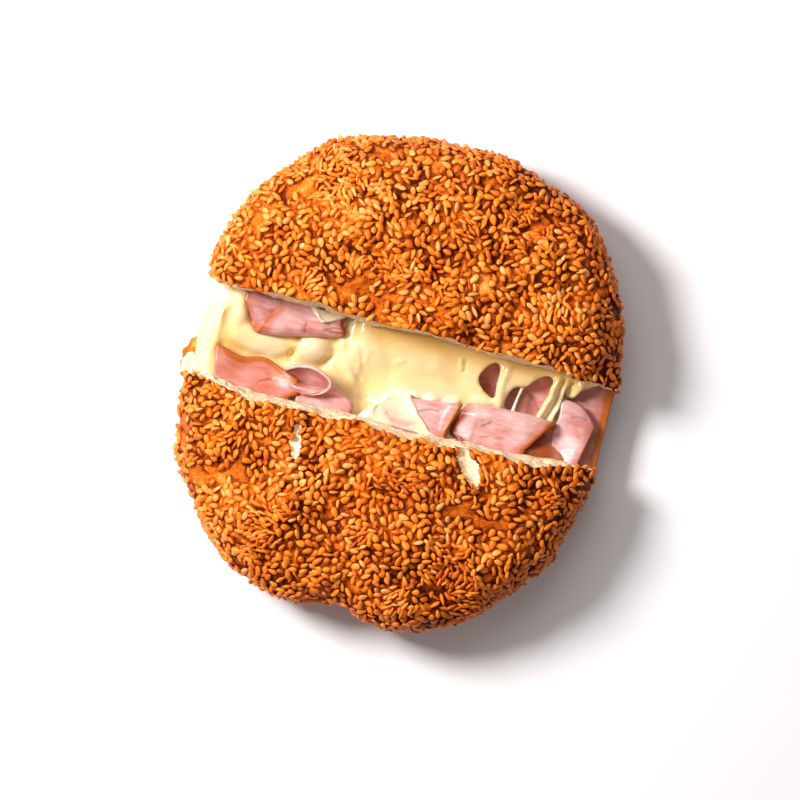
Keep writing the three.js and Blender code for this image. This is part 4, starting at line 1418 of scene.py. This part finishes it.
# Soft ridges and creases of the cheese's top: path, spread and rise.
CHEESE_FOLDS = [
    ([(-61.0, 8.0), (-60.2, 2.0), (-61.2, -5.0)], 1.7, -0.7),
    ([(-56.6, 8.0), (-57.4, 2.0), (-56.6, -5.0)], 2.2, -1.1),
    ([(-34.6, 6.0), (-33.6, 2.4), (-34.8, -1.6)], 0.9, -1.8),
    ([(-22.4, 6.4), (-22.0, 1.6), (-24.4, -2.0)], 1.0, -1.0),
    ([(-20.6, 5.8), (-17.4, 3.0), (-16.4, 0.4)], 0.8, 0.5),
    ([(-17.2, 7.4), (-14.6, 4.0), (-13.4, 0.6)], 0.8, 0.5),
    ([(-13.6, 8.0), (-12.0, 5.4), (-11.6, 2.4)], 0.6, 0.4),
    ([(-16.6, 0.6), (-14.6, -1.6), (-12.6, -2.8)], 0.9, -0.8),
    ([(-15.0, -3.6), (-12.6, -7.0), (-12.0, -11.0)], 1.4, 0.7),
    ([(17.2, 10.6), (17.7, 7.4)], 0.5, 0.8),
    ([(18.4, 10.2), (18.8, 7.6)], 0.5, -0.7),
    ([(-2.4, 4.6), (-1.4, 5.6), (-0.2, 5.4)], 0.5, 0.5),
    ([(32.6, 12.6), (31.6, 8.0), (31.6, 3.0), (32.2, -2.0)], 1.0, 0.8),
    ([(48.6, 13.4), (47.6, 8.0), (46.4, 2.0), (44.6, -3.6)], 0.75, 1.3),
    ([(50.2, 12.6), (49.6, 6.0), (48.0, 0.0), (46.4, -3.6)], 0.7, -1.1),
    ([(51.0, 13.4), (50.6, 7.0), (49.6, 0.0), (48.4, -3.6)], 0.5, 0.8),
    ([(53.0, 12.0), (51.8, 6.0), (51.2, -1.0), (50.6, -4.6)], 0.9, -1.9),
    ([(56.4, 12.8), (53.6, 8.4), (52.8, 3.0), (53.2, -5.0)], 0.8, 1.3),
]


# Puffs of the cheese: middle, half-length, half-width, turn in degrees and rise.
CHEESE_PUFFS = [
    ((-45.8, 0.9), 10.4, 4.6, -6, 2.4),
    ((-28.9, 2.2), 6.4, 5.0, 8, 3.0),
    ((-60.8, 0.4), 6.4, 11.5, 4, 2.0),
    ((-54.8, 9.0), 4.4, 7.5, 14, 2.0),
    ((-60.4, -9.8), 5.4, 4.8, 0, 1.4),
    ((-17.0, 1.8), 9.0, 4.4, -58, 1.4),
    ((-10.0, 5.4), 10.0, 5.0, -62, 1.2),
    ((3.0, 7.2), 13.0, 6.4, -10, 1.0),
    ((8.0, -1.4), 13.0, 5.4, -4, 1.0),
    ((11.2, -4.2), 3.4, 1.7, -4, 3.0),
    ((17.6, -3.2), 3.2, 1.6, 14, 2.8),
    ((5.6, -4.4), 3.0, 1.5, 4, 2.4),
    ((27.6, -0.4), 5.0, 2.0, 6, 1.2),
    ((38.0, 9.6), 9.0, 2.4, -6, 0.8),
]
PUFF_ROUNDNESS = 0.85  # lower is steeper at the border


def puff_rise(x, y):
    """The rise of the cheese's puffs, and how near a place is to the crease round one."""
    rise = np.zeros(np.shape(x))
    crease = np.zeros(np.shape(x))
    for (middle_x, middle_y), length, width, turn, height in CHEESE_PUFFS:
        away_x = x - middle_x
        away_y = y - middle_y
        heading = math.radians(turn)
        along = (away_x * math.cos(heading) + away_y * math.sin(heading)) / length
        across = (away_y * math.cos(heading) - away_x * math.sin(heading)) / width
        share = np.hypot(along, across)
        dome = height * np.maximum(0, 1 - share**2) ** PUFF_ROUNDNESS
        crease = np.where(dome > rise, 0, crease)
        crease = np.maximum(crease, bump(share - 1.08, 0.12) * (dome >= rise) * min(1, height / 2))
        rise = np.maximum(rise, dome)
    return rise, crease


def from_path(x, y, path):
    """Distance of places from a path of straight runs."""
    nearest = np.full(np.shape(x), np.inf)
    for start, end in zip(path, path[1:]):
        run = np.subtract(end, start)
        share = np.clip(((x - start[0]) * run[0] + (y - start[1]) * run[1]) / (run @ run), 0, 1)
        away_x = x - start[0] - share * run[0]
        away_y = y - start[1] - share * run[1]
        nearest = np.minimum(nearest, np.hypot(away_x, away_y))
    return nearest


def cheese_ends(y):
    """The X of the cheese's left and right ends."""
    in_bread = np.abs(y) > CUT
    depth = np.where(in_bread, y - np.sign(y) * CUT, 0)
    left, right = (
        way * extent_within(CHEESE_REACH, lambda width, way=way: (way * width, depth), y.shape)
        for way in (-1, 1)
    )
    neck = bump(y - 12, 3)
    tuck = 1 - smoothstep(y, -CUT, -CUT + 5)
    spread = smoothstep(y, 4, CUT) ** 2 + tuck
    gap_left = CHEESE_LEFT + 7 * neck + 2.6 * tuck
    gap_right = CHEESE_RIGHT + 9 * spread
    return np.where(in_bread, left, gap_left), np.where(in_bread, right, gap_right)


def cheese_top(x, y):
    """The height of the cheese's upper face."""
    ham_above = smoothstep(x, -60, -56) * (1 - smoothstep(x, -18, -15))
    drooped = np.clip((share_out(x, np.maximum(0, y - CUT)) - DROOP_START) / (1 - DROOP_START), 0, 1)
    under_lid = LID_UNDERSIDE - LID_DROOP * drooped - 2 * CLEARANCE
    back_top = np.minimum(lerp(UNDER_LID, UNDER_HAM, ham_above), under_lid)
    out = np.clip((CUT - y) / GAP, 0, 1)
    arch = np.sin(np.pi * out)
    notch = 2.5 * bump(x + 10, 5) * smoothstep(out, 0.4, 0.8)
    slope = lerp(back_top, UNDER_HAM - 3 - notch, smoothstep(out, 0, 0.72))
    level = lerp(slope, UNDER_HAM, smoothstep(out, 0.8, 1))
    lobe = 3 * bump(x + 57, 7) * bump(y - 1, 7)
    ripples = 0.35 * arch * np.sin(0.18 * x + 0.6 * y)
    stretched = 1.4 * arch * smoothstep(x, 16, 26)
    in_gap = level + lobe + ripples + stretched
    in_gap = in_gap + smoothstep(CUT - np.abs(y), 0, 2) * puff_rise(x, y)[0]
    return np.where(y > CUT, back_top, np.where(y < -CUT, UNDER_HAM, in_gap))


def cheese_bottom(x, y):
    over_ham = smoothstep(x, 14, 18.4)
    level = lerp(ON_BASE, ON_HAM, over_ham)
    arch = np.maximum(0, 1 - (y / MOUTH) ** 2)
    sag = lerp(8.4, 0.9, over_ham) + 1.6 * bump(x + 57, 7)
    return level - arch * sag


def ham_ceiling(x, y, ham, bottom):
    """The height of the lowest ham over each place, seen from the cheese's lower face up."""
    heights = np.full(len(x), 99.0)
    upward = Vector((0, 0, 1))
    in_gap = np.flatnonzero(np.abs(y) < CUT + 1)
    for index in in_gap:
        start = Vector((x[index], y[index], bottom[index] + 0.8))
        hit = ham.ray_cast(start, upward, 12)[0]
        if hit is not None:
            heights[index] = hit.z
    return heights


def plain_object(name, points, faces):
    """An object of the scene from points and lists of corners."""
    mesh = bpy.data.meshes.new(name)
    mesh.from_pydata(points.tolist(), [], faces)
    return put_in_scene(name, mesh)


def applied(made):
    """Points and quads of a working object with its modifiers applied; the object is removed."""
    evaluated = made.evaluated_get(bpy.context.evaluated_depsgraph_get())
    mesh = evaluated.to_mesh()
    points = np.zeros(3 * len(mesh.vertices))
    mesh.vertices.foreach_get("co", points)
    faces = np.array([tuple(polygon.vertices) for polygon in mesh.polygons])
    evaluated.to_mesh_clear()
    bpy.data.objects.remove(made)
    return points.reshape(-1, 3), faces


def smooth_outline(corners, steps=6):
    """A closed smooth curve through corners."""
    loop = np.array(corners)
    knots = np.concatenate([loop[-1:], loop, loop[:2]])
    curve = []
    for i in range(1, len(knots) - 2):
        stretch = knots[i - 1 : i + 3][:, None]
        for step in range(steps):
            curve.append(spline(stretch, np.array([(1 + step / steps) / 3]))[0])
    return np.array(curve)


def hole_prism(outline, low, high):
    """An upright prism on a closed outline."""
    x, y = outline.T
    if np.sum(x * np.roll(y, -1) - y * np.roll(x, -1)) < 0:
        outline = outline[::-1]
    count = len(outline)
    points = np.concatenate([np.c_[outline, np.full(count, low)], np.c_[outline, np.full(count, high)]])
    ids = np.arange(count)
    after = np.roll(ids, -1)
    walls = np.stack([ids, after, after + count, ids + count], axis=1).tolist()
    caps = [ids[::-1].tolist(), (ids + count).tolist()]
    return plain_object("hole", points, walls + caps)


def cheese_slab(ham):
    """The cheese's upper and lower face under the ham, joined at its rim, without its holes."""
    rows = 2 * ROWS_IN_BREAD + ROWS_IN_GAP
    places, quads, _ = box_surface((CHEESE_COLUMNS, rows, 1))
    row = places[:, 1] * rows
    past = np.maximum(np.maximum(ROWS_IN_BREAD - row, row - (rows - ROWS_IN_BREAD)), 0) / ROWS_IN_BREAD
    side = np.where(row < rows / 2, FRONT, BACK)
    front_reach, back_reach = (
        float(extent_within(CHEESE_REACH, lambda depth, way=way: (0 * depth, way * depth), (1,))[0])
        for way in (FRONT, BACK)
    )
    reach = np.where(side < 0, front_reach, back_reach)
    in_gap = lerp(-CUT, CUT, (row - ROWS_IN_BREAD) / ROWS_IN_GAP)
    y = np.where(past > 0, side * (CUT + reach * np.sin(past * np.pi / 2)), in_gap)
    left, right = cheese_ends(y)
    x = lerp(left, right, places[:, 0])
    bottom = cheese_bottom(x, y)
    is_top = places[:, 2] > 0.5
    top = cheese_top(x, y)
    ceiling = ham_ceiling(x, y, ham, bottom) - CEILING_GAP
    top = np.maximum(np.minimum(top, ceiling), bottom + LEAST_CHEESE)
    from_end = np.minimum(x - left, right - x)
    share, spread = END_ROUNDING
    round_off = share * (np.abs(y) < CUT) * (top - bottom) * bump(from_end, spread)
    return np.stack([x, y, np.where(is_top, top - round_off, bottom + round_off)], axis=1), quads


def cheese_body(ham):
    """The cheese's points and quads, with its holes opened and its edges rounded."""
    points, quads = cheese_slab(ham)
    slab = plain_object("cheese_slab", points, quads.tolist())
    prisms = [hole_prism(smooth_outline(outline), *HOLE_REACH) for outline in CHEESE_HOLES]
    for prism in prisms:
        cutter = slab.modifiers.new("hole", "BOOLEAN")
        cutter.operation = "DIFFERENCE"
        cutter.solver = "MANIFOLD"
        cutter.object = prism
    remesh = slab.modifiers.new("even", "REMESH")
    remesh.mode = "VOXEL"
    remesh.voxel_size = CHEESE_VOXEL
    soften = slab.modifiers.new("soften", "SMOOTH")
    soften.factor, soften.iterations = SOFTENING
    points, quads = applied(slab)
    for prism in prisms:
        bpy.data.objects.remove(prism)
    return points, quads


def tube(path, radii, sides=10):
    """A closed tube along a path, with a radius at each of its points."""
    path = np.array(path, float)
    ahead = unit(np.gradient(path, axis=0))
    across = unit(np.cross(ahead, (0, 0, 1)))
    up = np.cross(across, ahead)
    turns = np.arange(sides) * 2 * np.pi / sides
    ring = across[:, None] * np.cos(turns)[:, None] + up[:, None] * np.sin(turns)[:, None]
    points = (path[:, None] + ring * np.array(radii)[:, None, None]).reshape(-1, 3)
    ends = np.stack([path[0] - ahead[0] * radii[0], path[-1] + ahead[-1] * radii[-1]])
    first, last = len(points), len(points) + 1
    quads = []
    for i in range(sides):
        after = (i + 1) % sides
        for k in range(len(path) - 1):
            here = k * sides
            quads.append((here + i, here + after, here + sides + after, here + sides + i))
    tail = (len(path) - 1) * sides
    for i in range(0, sides, 2):
        after, beyond = i + 1, (i + 2) % sides
        quads.append((first, beyond, after, i))
        quads.append((last, tail + i, tail + after, tail + beyond))
    return np.concatenate([points, ends]), np.array(quads)


def make_cheese(ham, material):
    """The cheese without its sheets and threads, and a search tree over it."""
    points, quads = cheese_body(ham)
    x, y = points[:, :2].T
    normals = vertex_normals(points, quads)
    free = smoothstep(CUT - np.abs(y), 0.5, 3)
    lumps = layered(points, CHEESE_LUMPS)
    bent = 0.5 * noise(points, 3, 83)
    for path, spread, rise in CHEESE_FOLDS:
        lumps += rise * bump(from_path(x + bent, y, path), spread) * (normals[:, 2] > 0)
    points = points + normals * (free * lumps)[:, None]
    at_rim = smoothstep(share_out(x, np.abs(y) - CUT), 0.93, 0.955) * (np.abs(y) > CUT + 1)
    ooze = np.clip(layered(points, OOZE_LUMPS, OOZE), *OOZE_RANGE)
    points = points + normals * (at_rim * ooze * (np.abs(normals[:, 2]) < 0.7))[:, None]
    tones = cheese_tones(x, y)
    mesh_piece("cheese", points, quads, tones, material, "cheese", ["melted_cheese"])
    return BVHTree.FromPolygons(points.tolist(), quads.tolist())


def cheese_tones(x, y):
    """How creamy and how deep yellow the cheese is at each place; most of the deep yellow is painted
    shade, under the back lid, round the puffs, in the valleys and grooves and at the far left.
    """
    rise, crease = puff_rise(x, y)
    cream = 0.35 * np.clip(rise / 2.5, 0, 1) + 0.2 * smoothstep(x, 24, 32)
    cream += 0.6 * bump(y + 4.4, 2.6) * smoothstep(x, -8, 0) * (1 - smoothstep(x, 20, 26))
    # Painted shade: deeper yellow under the back lid, round the puffs, in the lobe's valley, at the lit
    # far left and in the groove under the left fold.
    deep_and_shade = 0.75 * smoothstep(y, 6, 13) * smoothstep(x, -20, -8)
    deep_and_shade += 0.15 * bump(x - 4, 12) * bump(y - 1, 5)
    deep_and_shade += 0.7 * crease + 0.85 * bump(x + 56.6, 3.2) * bump(y + 2, 9)
    deep_and_shade += 0.3 * bump(x + 65, 3.5)
    deep_and_shade += 0.5 * bump(y + 1, 3) * smoothstep(x, -56, -50) * (1 - smoothstep(x, -38, -34)) * (rise < 1)
    return np.stack([np.clip(cream, 0, 1), np.clip(deep_and_shade, 0, 1), np.zeros(len(x))], axis=1)


# Soft sheets of cheese that lie over what is under them: left and right border from front to back,
# thickness, and how pink the ham shows through.
CHEESE_SHEETS = {
    "cheese_film": (
        [(-10.0, -15.2), (-8.2, -12.4), (-6.2, -8.8), (-3.6, -5.4), (-1.8, -3.0)],
        [(17.4, -14.9), (12.8, -12.9), (9.4, -10.6), (6.8, -7.8), (4.6, -3.4)],
        0.55,
        1.0,
    ),
    "cheese_flap": (
        [(-28.0, 11.4), (-31.2, 13.2), (-33.0, 15.4)],
        [(-26.6, 11.4), (-23.4, 13.0), (-21.0, 15.0)],
        0.7,
        0.0,
    ),
}
SHEET_UNDERSIDE = (0.25, 0.2)  # how far it lies under the sheet's level, at the border and inside
SHEET_CREASE = [(-1.2, -11.4), (1.2, -12.9), (3.6, -13.6), (6.4, -13.6)]
SHEET_COLUMNS = 96
SHEET_ROWS = 44
SHEET_SMOOTHING = 40
SHEET_SEED = 95
THREAD_PLACES = 17  # along each thread


def height_under(x, y, trees):
    """The height of the highest surface at each place."""
    heights = np.zeros(np.shape(x))
    downward = Vector((0, 0, -1))
    for index in np.ndindex(heights.shape):
        start = Vector((x[index], y[index], BREAD_HEIGHT))
        hits = [tree.ray_cast(start, downward)[0] for tree in trees]
        heights[index] = max((hit.z for hit in hits if hit is not None), default=BASE_TOP)
    return heights


def cheese_sheet(left, right, thickness, pink, trees, seed):
    """A soft sheet between two borders that lies over what is under it."""
    columns, rows = SHEET_COLUMNS, SHEET_ROWS
    share = np.linspace(0, 1, rows + 1)
    left_line, right_line = (spline(np.array(border, float)[:, None], share) for border in (left, right))
    across = np.linspace(0, 1, columns + 1)
    grid = lerp(left_line[:, None], right_line[:, None], across[None, :, None])
    x, y = grid[..., 0], grid[..., 1]
    flat = np.stack([x.ravel(), y.ravel(), np.zeros(x.size)], axis=1)
    uneven = noise(flat, 3.2, seed).reshape(x.shape)
    x = x + noise(flat, 3.4, seed + 5).reshape(x.shape)
    y = y + 0.5 * noise(flat, 4, seed + 6).reshape(x.shape)
    top = height_under(x, y, trees)
    level = top.copy()
    for _ in range(SHEET_SMOOTHING):
        padded = np.pad(level, 1, mode="edge")
        around = padded[:-2, 1:-1] + padded[2:, 1:-1] + padded[1:-1, :-2] + padded[1:-1, 2:]
        level = np.maximum(around / 4, top)
    wide = np.abs(x[:, -1:] - x[:, :1])
    from_left = across[None] * wide
    from_right = (1 - across)[None] * wide
    border = np.minimum(from_left, from_right)
    lip = (1 + uneven) * (bump(from_left - 1.6, 1.3) + 0.3 * bump(from_right - 0.8, 0.6))
    crease = bump(from_path(x, y, SHEET_CREASE), 0.5)
    edge = np.sqrt(np.clip(border, 0.04, 1))
    high = level + edge * (thickness * (1 + 0.5 * uneven) + 0.55 * lip - 0.5 * crease)
    at_border, inside = SHEET_UNDERSIDE
    low = level - at_border - edge * inside
    places, quads, _ = box_surface((columns, rows, 1))
    column = np.rint(places[:, 0] * columns).astype(int)
    row = np.rint(places[:, 1] * rows).astype(int)
    z = np.where(places[:, 2] > 0.5, high[row, column], low[row, column])
    points = np.stack([x[row, column], y[row, column], z], axis=1)
    cream = np.clip(0.8 + lip[row, column], 0, 1)
    near_crease = bump(from_path(x, y, SHEET_CREASE), 2.4)
    thin = np.maximum(0.35 * smoothstep(noise(points, 5, seed + 1), -0.5, 0.4), near_crease[row, column])
    thin = thin * pink * (1 - 0.8 * lip[row, column])
    thin = thin * smoothstep(from_right[row, column], 0.6, 2.2) * smoothstep(from_left[row, column], 2, 4)
    # Painted shade along the sheet's crease, in its deep yellow.
    return points, quads, np.stack([cream, 0.4 * crease[row, column], np.clip(thin, 0, 1)], axis=1)


# Threads of cheese across the holes: places from back to front and radius.
CHEESE_THREADS = [
    ([(38.2, 9.0, 16.6), (37.6, 5.4, 16.0), (37.0, 1.6, 15.7), (36.6, -2.6, 16.0)], 0.42),
    ([(39.4, 9.6, 16.4), (38.2, 6.6, 15.8), (37.2, 3.2, 15.6)], 0.22),
]


def make_cheese_details(trees, material):
    """The cheese's thin sheets and threads."""
    for number, (name, (left, right, thickness, pink)) in enumerate(CHEESE_SHEETS.items()):
        points, quads, tones = cheese_sheet(left, right, thickness, pink, trees, SHEET_SEED + 2 * number)
        mesh_piece(name, points, quads, tones, material, "cheese", ["melted_cheese"])
    parts = []
    for knots, radius in CHEESE_THREADS:
        path = spline(np.array(knots)[:, None], np.linspace(0, 1, THREAD_PLACES))
        waist = 1 + 1.6 * np.abs(np.linspace(-1, 1, THREAD_PLACES)) ** 3
        points, quads = tube(path, radius * waist)
        cream = np.ones(len(points))
        parts.append((points, quads, np.stack([cream, 0 * cream, 0 * cream], axis=1)))
    mesh_piece("cheese_threads", *joined(parts), material, "cheese", ["melted_cheese"])


# ---------------------------------------------------------------- the light, floor and camera

VIEW_WIDTH = 250.0
VIEW_TURN = math.radians(14.2)
VIEW_CENTRE = (1.64, -6.44)
VIEW_HEIGHT = 1900.0
SENSOR = 36.0
FLOOR_HALF = 2.0  # metres
FLOOR_COLOUR = (0.90, 0.87, 0.87, 1)
SKY_COLOUR = (1.0, 0.98, 0.97, 1)
SKY_STRENGTH = 0.27

# Soft lamps: name, heading in degrees from the picture's right towards its top, elevation in
# degrees, distance and size in metres, and power in watts.
LAMPS = [
    ("key", 152, 46, 0.9, 0.30, 11.9),
    ("top", 96, 58, 1.1, 0.7, 2.3),
]


def frame_place(x, y, z):
    return Vector((np.array([x, y, z]) + GAP_MIDDLE) * MM)


def make_camera():
    data = bpy.data.cameras.new("camera")
    data.sensor_width = SENSOR
    data.lens = SENSOR * VIEW_HEIGHT / VIEW_WIDTH
    data.clip_end = 10
    camera = put_in_scene("camera", data)
    camera.location = frame_place(*VIEW_CENTRE, VIEW_HEIGHT + LID_UNDERSIDE)
    camera.rotation_euler = (0, 0, VIEW_TURN)
    bpy.context.scene.camera = camera


def make_lamp(name, heading, elevation, distance, size, power):
    """A round soft lamp that points at the middle of the frame."""
    data = bpy.data.lights.new(name, "AREA")
    data.shape = "DISK"
    data.size = size
    data.energy = power
    lamp = put_in_scene(name, data)
    bearing = VIEW_TURN + math.radians(heading)
    level = math.radians(elevation)
    lamp.location = Vector(
        (math.cos(bearing) * math.cos(level), math.sin(bearing) * math.cos(level), math.sin(level))
    )
    lamp.location *= distance
    lamp.rotation_euler = (-lamp.location).to_track_quat("-Z", "Y").to_euler()


def make_floor():
    corners = np.array([(-1, -1, 0), (1, -1, 0), (1, 1, 0), (-1, 1, 0)])
    floor = plain_object("floor", FLOOR_HALF * corners, [(0, 1, 2, 3)])
    shading = bpy.data.materials.new("floor")
    shading.use_nodes = True
    shader = shading.node_tree.nodes["Principled BSDF"]
    shader.inputs["Base Color"].default_value = FLOOR_COLOUR
    shader.inputs["Roughness"].default_value = 0.6
    floor.data.materials.append(shading)


def make_world():
    world = bpy.data.worlds.new("studio")
    world.use_nodes = True
    background = world.node_tree.nodes["Background"]
    background.inputs["Color"].default_value = SKY_COLOUR
    background.inputs["Strength"].default_value = SKY_STRENGTH
    bpy.context.scene.world = world


# ---------------------------------------------------------------- the whole

make_camera()
make_floor()
make_world()
for lamp in LAMPS:
    make_lamp(*lamp)
bpy.context.scene.view_settings.view_transform = "Standard"

skins = {}
for side, where in ((BACK, "back"), (FRONT, "front")):
    skins[f"lid_{where}"] = (*lid_half(side), LID_PLACES, LID_LOWEST)
    skins[f"base_{where}"] = (*base_half(side), BASE_PLACES, BASE_LOWEST)
seeds = sow(skins.values(), seed_material())
bread = bread_material()
for name, (points, quads, tones, kind, *_) in skins.items():
    points, tones = settled_crust(points, quads, tones, kind, seeds)
    mesh_piece(f"crust_{name}", points, quads, tones, bread, "crust", [f"bread_{name}"])

ham = make_ham(ham_material())
molten = cheese_material()
cheese = make_cheese(ham, molten)
make_cheese_details([ham, cheese], molten)
